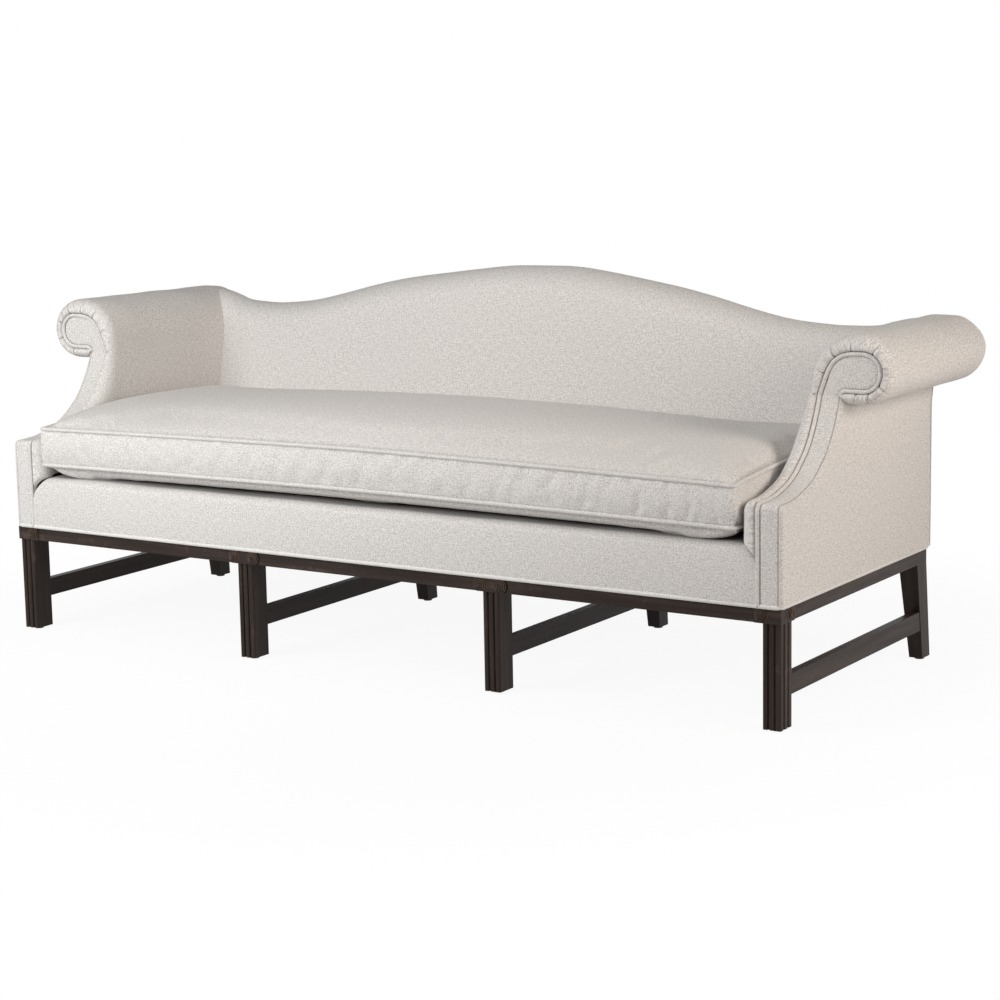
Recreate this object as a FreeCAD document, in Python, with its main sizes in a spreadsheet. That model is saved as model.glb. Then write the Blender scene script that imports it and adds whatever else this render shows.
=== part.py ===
import FreeCAD, Part
import math
import os
import Sketcher
from FreeCAD import Placement, Rotation, Vector

# Camelback sofa with swept, out-scrolled arms, one loose bench cushion and a reeded-leg base.
# Millimetres. X runs along the sofa, +Y to the back, +Z up, and the floor is at Z = 0.
# Places in Y are measured from the front face of the legs, and every piece is then moved so that
# the origin is under the middle of the whole sofa.

doc = FreeCAD.newDocument("CamelbackSofa")

SIZES = (
    ("leg_spacing", 690, "centre to centre of neighbouring front legs"),
    ("leg_width", 42, "front leg along X"),
    ("leg_depth", 54, "front leg along Y"),
    ("leg_height", 232, "floor to the underside of the apron"),
    ("reed_groove", 3.5, "width of a groove between two reeds"),
    ("reed_depth", 4, "depth of a groove between two reeds"),
    ("reed_round", 3.4, "rounded edges of a reed"),
    ("rear_leg_width", 46, "rear leg along X at its top"),
    ("rear_leg_depth", 52, "rear leg along Y at its top"),
    ("rear_foot_width", 33, "rear leg along X at the floor"),
    ("rear_foot_depth", 42, "rear leg along Y at the floor"),
    ("rear_leg_rake", 35, "how far the rear foot stands behind the top of its leg"),
    ("tenon_height", 18, "leg tenon in the apron"),
    ("tenon_wall", 11, "wood left round a tenon"),
    ("glide_height", 5, "nail-on glide under each leg"),
    ("glide_radius", 11, "nail-on glide under each leg"),
    ("glide_pin_radius", 2, "pin of a glide"),
    ("glide_pin_length", 12, "pin of a glide"),
    ("apron_height", 32, "show-wood rail between legs and upholstery"),
    ("apron_thickness", 46, "show-wood rail"),
    ("base_depth", 756, "front of the legs to the back of the rear apron"),
    ("stretcher_bottom", 74, "floor to a stretcher"),
    ("stretcher_height", 44, "stretcher between a front leg and its rear leg"),
    ("stretcher_thickness", 20, "stretcher"),
    ("stretcher_inset", 1, "outer stretcher from the outer face of its leg"),
    ("stretcher_tenon", 14, "stretcher tenon in the legs"),
    ("stretcher_shoulder", 8, "step from a stretcher to the top and bottom of its tenon"),
    ("bracket_width", 87, "carved double volute on the apron above a leg"),
    ("bracket_relief", 6, "ground of the carved volutes"),
    ("volute_radius", 16, "outer leaf of a volute"),
    ("volute_step", 4, "each leaf of a volute inside the one before"),
    ("volute_rise", 1.5, "each leaf of a volute in front of the one before"),
    ("bead_radius", 5, "bead in the middle of a volute"),
    ("dowel_radius", 5, "dowels and screws of the frame"),
    ("dowel_length", 60, "dowels of the frame"),
    ("screw_radius", 2.5, "screws between the apron and the seat frame"),
    ("screw_length", 70, "screws between the apron and the seat frame"),
    ("fit_gap", 0.3, "clearance round a soft piece or a cord"),
    ("pad_gap", 0.8, "clearance between two rounded paddings"),
    ("proud", 6, "upholstered faces in front of the show wood"),
    ("panel_thickness", 8, "covered board of the outer arms and the outer back"),
    ("welt_radius", 4.5, "covered cord round the arm fronts"),
    ("base_welt_radius", 4, "covered cord along the show wood"),
    ("seat_rail_height", 88, "hidden seat rail on the apron"),
    ("seat_rail_thickness", 30, "hidden seat rail"),
    ("border_thickness", 18, "padding in front of the front seat rail"),
    ("border_top", 396, "top of the padded front edge"),
    ("border_end_drop", 32, "front edge lower where it meets an arm"),
    ("border_end_run", 51, "length of the curve by which the front edge drops"),
    ("border_lip", 26, "front edge behind the face of the front seat rail"),
    ("border_roundness", 14, "top edge of the padded front"),
    ("block_leg", 90, "leg of a triangular corner block"),
    ("block_height", 60, "corner block and cross brace"),
    ("brace_width", 40, "cross brace over the middle legs"),
    ("webbing_count", 17, "seat webbing straps from front to back"),
    ("webbing_width", 70, "strap"),
    ("webbing_thickness", 2.5, "strap"),
    ("deck_top", 392, "top of the padded deck under the cushion"),
    ("deck_gap", 2, "deck padding to the arm pads and the back pad"),
    ("dust_cover_thickness", 1.5, "cloth under the seat frame"),
    ("arm_face_y", -4, "upright facing of an arm"),
    ("arm_inner_welt", 1006, "middle of the sofa to the cord inside an arm front"),
    ("arm_panel_width", 42, "facing of an arm front between its cords"),
    ("arm_inner_front", 965, "middle of the sofa to the inside of an arm at its front"),
    ("arm_inner_rear", 945, "middle of the sofa to the inside of an arm at the back"),
    ("arm_lean_start", 560, "height where the inside of an arm starts to lean out"),
    ("arm_front_height", 480, "top of the upright front of an arm"),
    ("arm_corner_radius", 10, "top corner of the upright front"),
    ("sweep_low_y", 122, "arm front sweep, first point"),
    ("sweep_low_rise", 17, "arm front sweep, first point above the upright front"),
    ("sweep_mid_y", 194, "arm front sweep, second point"),
    ("sweep_mid_rise", 54, "arm front sweep, second point"),
    ("sweep_high_y", 240, "arm front sweep, third point"),
    ("sweep_high_rise", 103, "arm front sweep, third point"),
    ("sweep_neck_y", 284, "arm front sweep, fourth point"),
    ("sweep_neck_rise", 188, "arm front sweep, fourth point"),
    ("scroll_face_y", 291, "flat face of the scroll"),
    ("post_knee_share", 0.6, "fall of the post's inner curve over its run"),
    ("arm_post_depth", 58, "swept arm post behind its facing"),
    ("arm_facing", 4, "padded facing of an arm front"),
    ("arm_pad_proud", 12, "inside arm pad above the sweep of the facing"),
    ("arm_pad_front", 2, "inside arm pad in front of the facing"),
    ("arm_pad_roundness", 16, "front edge of the inside arm pad"),
    ("roll_centre_x", 1101, "middle of the sofa to the centre of a scroll"),
    ("roll_centre_z", 729, "height of the centre of a scroll"),
    ("scroll_radius", 44, "cord round the head of a scroll"),
    ("roll_radius", 75, "padded roll round a scroll"),
    ("roll_inner_front", 984, "middle of the sofa to the shoulder of the roll at its front"),
    ("roll_inner_radius", 105, "inner shoulder of the roll"),
    ("neck_radius", 9, "turn of the cord under the head of a scroll"),
    ("scroll_board_thickness", 22, "board behind the face of a scroll"),
    ("arm_rail_height", 42, "rail along the top of an arm"),
    ("arm_tack_height", 30, "lower rail of an arm"),
    ("arm_tack_gap", 22, "lower rail of an arm above the seat rail"),
    ("back_overhang", 10, "outer back behind the rear apron, below the rake"),
    ("rake_start", 600, "height where the back starts to lean"),
    ("rake", 0.22, "lean of the back, run over rise"),
    ("back_post_depth", 50, "back post"),
    ("crest_height", 881, "top of the hump"),
    ("hump_half", 450, "middle of the hump to the straight flank"),
    ("hump_drop", 50, "fall of the hump to the straight flank"),
    ("flank_end", 620, "middle of the hump to the end of the straight flank"),
    ("dip_x", 840, "middle of the hump to the dip beside an arm"),
    ("ear_run", 117, "dip to the place where the crest meets the arm"),
    ("ear_rise", 14, "climb of the crest from the dip"),
    ("crest_front_radius", 62, "padded front of the crest"),
    ("crest_rear_radius", 14, "padded rear of the crest"),
    ("crest_wrap", 32, "padding over the crest rail"),
    ("crest_rail_height", 90, "crest rail"),
    ("crest_rail_thickness", 28, "crest rail"),
    ("back_thickness", 86, "inside back to outer back beside an arm, at the top of the cushion"),
    ("back_inside_z", 536, "height of that place"),
    ("back_inside_rake", 0.2, "lean of the inside back"),
    ("back_crown", 16, "crown of the inside back"),
    ("back_rail_bottom", 410, "lower rail of the back"),
    ("back_rail_height", 60, "lower rail of the back"),
    ("back_strap_count", 10, "webbing straps of the back"),
    ("cushion_front_half", 954, "half the cushion at its front seam"),
    ("cushion_rear_half", 936, "half the cushion at its rear seam"),
    ("cushion_overhang", 22, "cushion in front of the legs"),
    ("cushion_bulge", 10, "outward bulge of the cushion's boxing"),
    ("cushion_rear_gap", 34, "upper rear seam of the cushion to the inside back beside an arm"),
    ("cushion_rear_slope", 18, "lower rear seam of the cushion in front of the upper one"),
    ("cushion_boxing", 92, "between the cushion's seams"),
    ("cushion_crown", 64, "crown of the cushion's top"),
    ("cushion_belly", 32, "crown of the cushion's underside"),
    ("cushion_end_crown", 12, "crown at the ends of the cushion"),
    ("cushion_cover", 3, "cover of the cushion"),
    ("cushion_welt_radius", 4, "covered cord in the cushion's seams"),
    ("seam_sink", 1, "how deep a seam's cord lies in the cushion"),
    ("zipper_width", 24, "zipper across the rear boxing"),
    ("zipper_end", 120, "zipper from each end of the cushion"),
    ("zipper_depth", 1.2, "zipper in the boxing"),
)

sheet = doc.addObject("Spreadsheet::Sheet", "Sizes")
for row, (alias, number, meaning) in enumerate(SIZES, start=1):
    sheet.set(f"A{row}", meaning)
    sheet.set(f"B{row}", str(number))
    sheet.setAlias(f"B{row}", alias)
doc.recompute()


class Size:
    """A length with its value and the expression on the sheet that gives it."""

    def __init__(self, value, text):
        self.value = float(value)
        self.text = text

    @staticmethod
    def of(other):
        return other if isinstance(other, Size) else Size(other, repr(float(other)))

    def joined(self, sign, other, value):
        return Size(value, f"({self.text} {sign} {other.text})")

    def __float__(self):
        return self.value

    def __add__(self, other):
        other = Size.of(other)
        return self.joined("+", other, self.value + other.value)

    def __sub__(self, other):
        other = Size.of(other)
        return self.joined("-", other, self.value - other.value)

    def __mul__(self, other):
        other = Size.of(other)
        return self.joined("*", other, self.value * other.value)

    def __truediv__(self, other):
        other = Size.of(other)
        return self.joined("/", other, self.value / other.value)

    def __radd__(self, other):
        return Size.of(other) + self

    def __rsub__(self, other):
        return Size.of(other) - self

    def __rmul__(self, other):
        return Size.of(other) * self

    def __neg__(self):
        return Size.of(0) - self


def size(alias):
    """The named length of the sheet."""
    return Size(sheet.get(alias), f"Sizes.{alias}")


# Base
leg_spacing = size("leg_spacing")
leg_width = size("leg_width")
leg_depth = size("leg_depth")
leg_height = size("leg_height")
apron_height = size("apron_height")
apron_thickness = size("apron_thickness")
apron_top = leg_height + apron_height
base_depth = size("base_depth")
glide_height = size("glide_height")
tenon_height = size("tenon_height")
tenon_wall = size("tenon_wall")
fit_gap = size("fit_gap")
pad_gap = size("pad_gap")
proud = size("proud")
outer_leg_x = leg_spacing * 1.5
middle_leg_x = leg_spacing * 0.5
base_half = outer_leg_x + leg_width / 2
rear_leg_front = base_depth - size("rear_leg_depth")
stretcher_bottom = size("stretcher_bottom")
stretcher_height = size("stretcher_height")
stretcher_thickness = size("stretcher_thickness")
stretcher_tenon = size("stretcher_tenon")
stretcher_shoulder = size("stretcher_shoulder")

# Upholstered body
body_half = base_half + proud
panel_thickness = size("panel_thickness")
seat_rail_thickness = size("seat_rail_thickness")
seat_rail_top = apron_top + size("seat_rail_height")
seat_front = size("border_thickness") - proud
border_top = size("border_top")
border_end_top = border_top - size("border_end_drop")
base_welt_radius = size("base_welt_radius")
welt_clear = apron_top + fit_gap * 2 + base_welt_radius * 2
webbing_thickness = size("webbing_thickness")
deck_top = size("deck_top")
welt_radius = size("welt_radius")
arm_inner_welt = size("arm_inner_welt")
arm_outer_face = body_half - panel_thickness - fit_gap
arm_inner_face = arm_inner_welt - welt_radius
arm_width = arm_outer_face - arm_inner_face
arm_facing = size("arm_facing")
scroll_face_y = size("scroll_face_y")
roll_x = size("roll_centre_x")
roll_z = size("roll_centre_z")
scroll_radius = size("scroll_radius")
roll_radius = size("roll_radius")
back_plane = base_depth + size("back_overhang")
rake_start = size("rake_start")
rake = size("rake")
crest_height = size("crest_height")
back_frame_plane = back_plane - panel_thickness - fit_gap
crest_thickness = size("crest_rail_thickness")

# Cushion
cushion_low_seam = deck_top + fit_gap + size("cushion_belly")
cushion_high_seam = cushion_low_seam + size("cushion_boxing")
cushion_front = size("cushion_bulge") - size("cushion_overhang")

# The rearmost point is the padded rear of the hump, the foremost one the front of the cushion.
back_reach = back_plane + rake * (crest_height - size("crest_rear_radius") - rake_start)
depth_centre = (back_reach - size("cushion_overhang")) / 2

pieces = []


def keep(piece, label):
    """Gives a finished sub-part its name and lists it."""
    piece.Label = label
    pieces.append(piece)
    return piece


def bind(piece, **settings):
    """Binds properties of a piece to sizes; two underscores stand for a dot."""
    for name, value in settings.items():
        piece.setExpression(name.replace("__", "."), Size.of(value).text)


def block(name, length, width, height, x, y, z):
    """A rectangular piece by its three sizes and its low corner."""
    piece = doc.addObject("Part::Box", name)
    bind(piece, Length=length, Width=width, Height=height,
         Placement__Base__x=x, Placement__Base__y=y - depth_centre, Placement__Base__z=z)
    return piece


def rod(name, radius, height, x, y, z, axis=Vector(0, 0, 1)):
    """A round piece by its radius, its length and the middle of its first end."""
    piece = doc.addObject("Part::Cylinder", name)
    piece.Placement.Rotation = Rotation(Vector(0, 0, 1), axis)
    bind(piece, Radius=radius, Height=height,
         Placement__Base__x=x, Placement__Base__y=y - depth_centre, Placement__Base__z=z)
    return piece


def shaped(name, shape):
    """A piece whose shape is worked out here from the sizes of the sheet."""
    piece = doc.addObject("Part::Feature", name)
    piece.Shape = shape.removeSplitter()
    piece.Placement = Placement(Vector(0, -float(depth_centre), 0), Rotation())
    return piece


def joined(kind, name, members):
    """A boolean or a compound of other pieces."""
    piece = doc.addObject(kind, name)
    if kind == "Part::Compound":
        piece.Links = members
    elif kind == "Part::MultiFuse":
        piece.Shapes = members
    else:
        piece.Base, piece.Tool = members
    return piece


def group(label, members):
    """Like pieces in one node, each a solid of its own."""
    return keep(joined("Part::Compound", label, members), label)


def cut(name, base, tools):
    """The base less the tools."""
    tool = tools[0] if len(tools) == 1 else joined("Part::Compound", f"{name}_tools", tools)
    return joined("Part::Cut", name, (base, tool))


def mirrored(piece, label):
    """The same piece for the other end of the sofa."""
    twin = doc.addObject("Part::Mirroring", label)
    twin.Source = piece
    twin.Normal = Vector(1, 0, 0)
    return keep(twin, label)


def pair(piece, name):
    """The right-hand piece and its left-hand twin, each in its own node."""
    keep(piece, f"{name}_right")
    mirrored(piece, f"{name}_left")


class Outline:
    """A closed outline of lines and arcs, for a sketch or for a wire."""

    def __init__(self, u, v):
        self.edges = []
        self.start = (u, v)
        self.here = (u, v)

    def line(self, u, v):
        self.edges.append(("line", self.here, (u, v), None))
        self.here = (u, v)
        return self

    def arc(self, u, v, middle):
        self.edges.append(("arc", self.here, (u, v), middle))
        self.here = (u, v)
        return self

    def closed(self):
        return self.line(*self.start)

    def sketch(self, body, name, plane, offset):
        """Draws the outline on a plane of the body, its corners bound to the sheet."""
        drawing = body.newObject("Sketcher::SketchObject", name)
        origin = [part for part in body.Origin.OriginFeatures if part.Role == plane][0]
        drawing.AttachmentSupport = [(origin, "")]
        drawing.MapMode = "FlatFace"
        bind(drawing, AttachmentOffset__Base__z=offset)
        ends = []
        for kind, first, last, middle in self.edges:
            a = Vector(float(first[0]), float(first[1]), 0)
            b = Vector(float(last[0]), float(last[1]), 0)
            if kind == "line":
                index = drawing.addGeometry(Part.LineSegment(a, b), False)
                ends.append((index, 1, 2))
                continue
            m = Vector(float(middle[0]), float(middle[1]), 0)
            circle = Part.Arc(a, m, b).toShape().Curve
            centre = circle.Center
            left = (m - a).cross(b - a).z > 0
            low, high = (a, b) if left else (b, a)
            low_angle = math.atan2(low.y - centre.y, low.x - centre.x)
            high_angle = math.atan2(high.y - centre.y, high.x - centre.x)
            if high_angle < low_angle:
                high_angle += 2 * math.pi
            flat = Part.Circle(centre, Vector(0, 0, 1), circle.Radius)
            index = drawing.addGeometry(Part.ArcOfCircle(flat, low_angle, high_angle), False)
            ends.append((index, 1, 2) if left else (index, 2, 1))
            drawing.addConstraint(Sketcher.Constraint("Radius", index, circle.Radius))
        for number, (index, first_end, last_end) in enumerate(ends):
            after, after_end, _ = ends[(number + 1) % len(ends)]
            drawing.addConstraint(Sketcher.Constraint("Coincident", index, last_end, after, after_end))
            corner = self.edges[number][1]
            for word, place in (("DistanceX", corner[0]), ("DistanceY", corner[1])):
                rule = Sketcher.Constraint(word, -1, 1, index, first_end, float(place))
                drawing.setExpression(f"Constraints[{drawing.addConstraint(rule)}]", Size.of(place).text)
        return drawing

    def wire(self, at):
        """The outline as a closed wire, each corner put in space by the function at."""
        made = []
        for kind, first, last, middle in self.edges:
            a = at(float(first[0]), float(first[1]))
            b = at(float(last[0]), float(last[1]))
            if kind == "line":
                made.append(Part.LineSegment(a, b).toShape())
            else:
                made.append(Part.Arc(a, at(float(middle[0]), float(middle[1])), b).toShape())
        return Part.Wire(made)


def rectangle(u, v, width, height):
    """A rectangular outline from its low corner."""
    return Outline(u, v).line(u + width, v).line(u + width, v + height).line(u, v + height).closed()


def new_body(name):
    body = doc.addObject("PartDesign::Body", name)
    bind(body, Placement__Base__y=-depth_centre)
    return body


def pad(body, name, outline, plane, start, length):
    """Pads an outline from start over length along the axis that the plane faces."""
    backward = plane == "XZ_Plane"
    drawing = outline.sketch(body, f"{name}_outline", plane, -start if backward else start)
    feature = body.newObject("PartDesign::Pad", name)
    feature.Profile = drawing
    feature.Reversed = backward
    bind(feature, Length=length)
    body.Tip = feature
    doc.recompute()
    return feature


def pocket(body, name, outline, plane, start, length):
    """Cuts an outline from start over length along the axis that the plane faces."""
    backward = plane == "XZ_Plane"
    before = body.Shape.Volume
    drawing = outline.sketch(body, f"{name}_outline", plane, -start if backward else start)
    feature = body.newObject("PartDesign::Pocket", name)
    feature.Profile = drawing
    feature.Reversed = not backward
    bind(feature, Length=length)
    body.Tip = feature
    doc.recompute()
    if body.Shape.Volume >= before:
        raise RuntimeError(f"{name} cuts nothing")
    return feature


def round_edges(body, name, radius, chosen):
    """Rounds the edges of the body for which chosen gives true."""
    base = body.Tip
    edges = [f"Edge{number}" for number, edge in enumerate(body.Shape.Edges, start=1) if chosen(edge)]
    feature = body.newObject("PartDesign::Fillet", name)
    feature.Base = (base, edges)
    bind(feature, Radius=radius)
    body.Tip = feature
    doc.recompute()
    return feature


def upright(edge):
    """Whether an edge is a straight one along Z."""
    low, high = edge.Vertexes[0].Point, edge.Vertexes[-1].Point
    return abs(low.x - high.x) < 0.01 and abs(low.y - high.y) < 0.01 and abs(low.z - high.z) > 1


def place_y(edge):
    """The Y place of an edge, measured from the front face of the legs."""
    return edge.CenterOfMass.y + float(depth_centre)


def front_leg(name, centre_x, corner):
    """A square leg with three reeds on its front and, at a corner, on its outer side."""
    body = new_body(name)
    left = centre_x - leg_width / 2
    right = centre_x + leg_width / 2
    groove = size("reed_groove")
    deep = size("reed_depth")
    reeds = 3
    pad(body, f"{name}_shaft", rectangle(left, Size.of(0), leg_width, leg_depth),
        "XY_Plane", glide_height, leg_height - glide_height)
    front_reed = (leg_width - groove * (reeds - 1)) / reeds
    side_reed = (leg_depth - groove * (reeds - 1)) / reeds
    for number in range(1, reeds):
        start = left + front_reed * number + groove * (number - 1)
        pocket(body, f"{name}_groove_{number}", rectangle(start, -deep, groove, deep * 2),
               "XY_Plane", Size.of(0), leg_height)
        if corner:
            start = side_reed * number + groove * (number - 1)
            pocket(body, f"{name}_side_groove_{number}", rectangle(right - deep, start, deep * 2, groove),
                   "XY_Plane", Size.of(0), leg_height)
    outer = float(right)
    round_edges(body, f"{name}_reeds", size("reed_round"),
                lambda edge: upright(edge) and (place_y(edge) < 0.01 or
                                                corner and abs(edge.CenterOfMass.x - outer) < 0.01))
    tenon = rectangle(left + tenon_wall, tenon_wall, leg_width - tenon_wall * 2, leg_depth - tenon_wall * 2)
    pad(body, f"{name}_tenon", tenon, "XY_Plane", leg_height, tenon_height)
    return body


def stretcher_x(centre_x, corner):
    """The inner side of the stretcher of a leg pair."""
    if corner:
        return centre_x + leg_width / 2 - size("stretcher_inset") - stretcher_thickness
    return centre_x - stretcher_thickness / 2


def rear_leg(name, centre_x, corner):
    """A plain leg, raked backwards and tapered to its foot."""
    body = new_body(name)
    top_width = size("rear_leg_width")
    foot_width = size("rear_foot_width")
    foot_depth = size("rear_foot_depth")
    foot_front = rear_leg_front + size("rear_leg_rake")
    outer = centre_x + leg_width / 2 if corner else centre_x + top_width / 2
    foot_outer = outer if corner else centre_x + foot_width / 2
    foot = rectangle(foot_outer - foot_width, foot_front, foot_width, foot_depth)
    top = rectangle(outer - top_width, rear_leg_front, top_width, size("rear_leg_depth"))
    low = foot.sketch(body, f"{name}_foot", "XY_Plane", glide_height)
    high = top.sketch(body, f"{name}_top", "XY_Plane", leg_height)
    feature = body.newObject("PartDesign::AdditiveLoft", f"{name}_shaft")
    feature.Profile = low
    feature.Sections = [high]
    body.Tip = feature
    doc.recompute()
    tenon = rectangle(outer - top_width + tenon_wall, rear_leg_front + tenon_wall,
                      top_width - tenon_wall * 2, size("rear_leg_depth") - tenon_wall * 2)
    pad(body, f"{name}_tenon", tenon, "XY_Plane", leg_height, tenon_height)
    return body


def stretcher(name, centre_x, corner):
    """A front-to-back stretcher with a tenon at each end, and the two tenons by themselves."""
    low_x = stretcher_x(centre_x, corner)
    rear_end = rear_leg_front + size("rear_leg_rake") + stretcher_tenon
    bar = block(f"{name}_bar", stretcher_thickness, rear_end - leg_depth, stretcher_height,
                low_x, leg_depth, stretcher_bottom)
    tenons = []
    for end, y in (("front", leg_depth - stretcher_tenon), ("rear", rear_leg_front)):
        length = stretcher_tenon if end == "front" else rear_end - rear_leg_front
        tenons.append(block(f"{name}_{end}_tenon", stretcher_thickness / 2, length,
                            stretcher_height - stretcher_shoulder * 2, low_x + stretcher_thickness / 4,
                            y, stretcher_bottom + stretcher_shoulder))
    return bar, tenons


def glide(name, x, y):
    """A round glide with its pin, and the pin by itself for the hole in the leg."""
    pin = rod(f"{name}_pin", size("glide_pin_radius"), size("glide_pin_length") + glide_height, x, y, 0)
    foot = rod(f"{name}_foot", size("glide_radius"), glide_height, x, y, 0)
    glides.append(joined("Part::MultiFuse", name, [foot, pin]))
    return pin


def leg_pair(side, centre_x, corner):
    """A front leg, its rear leg and the stretcher between them, jointed and on glides."""
    front = front_leg(f"front_leg_{side}", centre_x, corner)
    rear = rear_leg(f"rear_leg_{side}", centre_x, corner)
    bar, tenons = stretcher(f"stretcher_{side}", centre_x, corner)
    bar_end = cut(f"stretcher_{side}_shouldered", bar, [rear])
    whole = joined("Part::MultiFuse", f"stretcher_{side}_whole", [bar_end] + tenons)
    foot_x = centre_x + leg_width / 2 - size("rear_foot_width") / 2 if corner else centre_x
    foot_y = rear_leg_front + size("rear_leg_rake") + size("rear_foot_depth") / 2
    pins = (glide(f"front_glide_{side}", centre_x, leg_depth / 2),
            glide(f"rear_glide_{side}", foot_x, foot_y))
    legs = (cut(f"front_leg_{side}_mortised", front, [tenons[0], pins[0]]),
            cut(f"rear_leg_{side}_mortised", rear, [tenons[1], pins[1]]))
    return legs[0], legs[1], whole


def twin(piece):
    """The mirror image of a piece that shares a node with it."""
    other = doc.addObject("Part::Mirroring", f"{piece.Name}_twin")
    other.Source = piece
    other.Normal = Vector(1, 0, 0)
    return other


# Legs, stretchers and glides
glides = []
tenoned = []
for place, centre, is_corner in (("corner", outer_leg_x, True), ("middle", middle_leg_x, False)):
    made = leg_pair(place, centre, is_corner)
    for name, piece in zip((f"front_leg_{place}", f"rear_leg_{place}", f"side_stretcher_{place}"), made):
        pair(piece, name)
    tenoned.extend(made[:2])
group("foot_glides", glides + [twin(piece) for piece in glides])
leg_tenons = tenoned + [twin(piece) for piece in tenoned]

# Show-wood apron, its corner dowels and the screws that hold the seat frame on it
apron_inner_x = base_half - apron_thickness
apron_rear_y = base_depth - apron_thickness
dowel_length = size("dowel_length")
dowel_z = leg_height + apron_height * 0.75
corner_dowels = []
for number in (1, 3):
    dowel_x = apron_inner_x + apron_thickness * number / 4
    for end, joint_y in (("front", apron_thickness), ("rear", apron_rear_y)):
        corner_dowels.append(rod(f"dowel_{end}_{number}", size("dowel_radius"), dowel_length, dowel_x,
                                 joint_y - dowel_length / 2, dowel_z, Vector(0, 1, 0)))
corner_dowels.extend([twin(piece) for piece in corner_dowels])
seat_rail_y = seat_front + seat_rail_thickness / 2
rear_rail_front = back_frame_plane - seat_rail_thickness
side_rail_x = arm_inner_face + seat_rail_thickness / 2
screw_places = [(leg_spacing * share, y) for share in (0.2, 1) for y in (seat_rail_y, rear_rail_front + 12)]
screw_places += [(side_rail_x + 2, base_depth * share) for share in (0.3, 0.7)]
frame_screws = []
for number, (x, y) in enumerate(screw_places, start=1):
    frame_screws.append(rod(f"screw_{number}", size("screw_radius"), size("screw_length"), x, y, leg_height))
frame_screws.extend([twin(piece) for piece in frame_screws])
group("apron_dowels", corner_dowels)
group("frame_screws", frame_screws)
fasteners = corner_dowels + frame_screws

front_apron = block("front_apron_blank", base_half * 2, apron_thickness, apron_height,
                    -base_half, Size.of(0), leg_height)
keep(cut("front_apron", front_apron, leg_tenons + fasteners), "front_apron")
rear_apron = block("rear_apron_blank", base_half * 2, apron_thickness, apron_height,
                   -base_half, apron_rear_y, leg_height)
keep(cut("rear_apron", rear_apron, leg_tenons + fasteners), "rear_apron")
side_apron = block("side_apron_blank", apron_thickness, apron_rear_y - apron_thickness, apron_height,
                   apron_inner_x, apron_thickness, leg_height)
pair(cut("side_apron", side_apron, leg_tenons + fasteners), "side_apron")


def volute(name, x, z, depth):
    """A carved volute on the front face: leaves that step forward round a bead."""
    leaves = []
    leaf_count = 3
    for number in range(leaf_count):
        rise = depth + size("volute_rise") * number
        leaves.append(rod(f"{name}_leaf_{number}", size("volute_radius") - size("volute_step") * number,
                          rise, x, Size.of(0), z, Vector(0, -1, 0)))
    return leaves + [rod(f"{name}_bead", size("bead_radius"), rise + size("volute_rise"), x, Size.of(0), z,
                         Vector(0, -1, 0))]


# Carved double volutes where the front legs meet the apron
bracket_relief = size("bracket_relief")
ground = bracket_relief / 2
volute_radius = size("volute_radius")
bracket_low = apron_top - volute_radius * 2
volute_z = bracket_low + volute_radius
plate_height = volute_radius * 2
bracket_width = size("bracket_width")
middle_plate = block("middle_bracket_plate", bracket_width - volute_radius, ground, plate_height,
                     middle_leg_x - (bracket_width - volute_radius) / 2, -ground, bracket_low)
middle_leaves = []
for word, way in (("left", -1), ("right", 1)):
    middle_leaves += volute(f"middle_volute_{word}", middle_leg_x + way * (bracket_width / 2 - volute_radius),
                            volute_z, ground)
middle_bracket = joined("Part::MultiFuse", "middle_bracket", [middle_plate] + middle_leaves)
corner_front = block("corner_bracket_front", bracket_width / 2 + volute_radius + ground, ground, plate_height,
                     base_half - bracket_width / 2 - volute_radius, -ground, bracket_low)
corner_side = block("corner_bracket_side", ground, bracket_width / 2 + volute_radius, plate_height,
                    base_half, Size.of(0), bracket_low)
corner_leaves = volute("corner_volute_front", base_half - bracket_width / 2, volute_z, ground)
for number in range(3):
    corner_leaves.append(rod(f"corner_volute_side_{number}", volute_radius - size("volute_step") * number,
                             ground + size("volute_rise") * number, base_half, bracket_width / 2, volute_z,
                             Vector(1, 0, 0)))
corner_bracket = joined("Part::MultiFuse", "corner_bracket", [corner_front, corner_side] + corner_leaves)
brackets = [middle_bracket, corner_bracket]
group("carved_brackets", brackets + [twin(piece) for piece in brackets])

# Hidden seat frame
rail_height = seat_rail_top - apron_top
front_rail = block("front_seat_rail_blank", arm_inner_face * 2, seat_rail_thickness, rail_height,
                   -arm_inner_face, seat_front, apron_top)
keep(cut("front_seat_rail", front_rail, frame_screws), "front_seat_rail")
rear_rail = block("rear_seat_rail_blank", arm_inner_face * 2, seat_rail_thickness, rail_height,
                  -arm_inner_face, rear_rail_front, apron_top)
keep(cut("rear_seat_rail", rear_rail, frame_screws), "rear_seat_rail")
post_front = back_frame_plane - size("back_post_depth")
arm_post_back = fit_gap + size("arm_post_depth")
side_rail = block("side_seat_rail_blank", seat_rail_thickness, post_front - arm_post_back, rail_height,
                  arm_inner_face, arm_post_back, apron_top)
pair(cut("side_seat_rail", side_rail, frame_screws), "side_seat_rail")
rail_back = seat_front + seat_rail_thickness
brace = block("seat_brace", size("brace_width"), rear_rail_front - rail_back, size("block_height"),
              middle_leg_x - size("brace_width") / 2, rail_back, apron_top)
group("seat_braces", [brace, twin(brace)])


def flat(points, at):
    """A flat face through points of a plane, put in space by the function at."""
    corners = [at(float(u), float(v)) for u, v in points]
    return Part.Face(Part.makePolygon(corners + corners[:1]))


def in_plan(z):
    """Puts a point of the plan at the height z."""
    return lambda x, y: Vector(x, y, float(z))


def in_front_view(y):
    """Puts a point of the front view at the depth y."""
    return lambda x, z: Vector(x, float(y), z)


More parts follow.
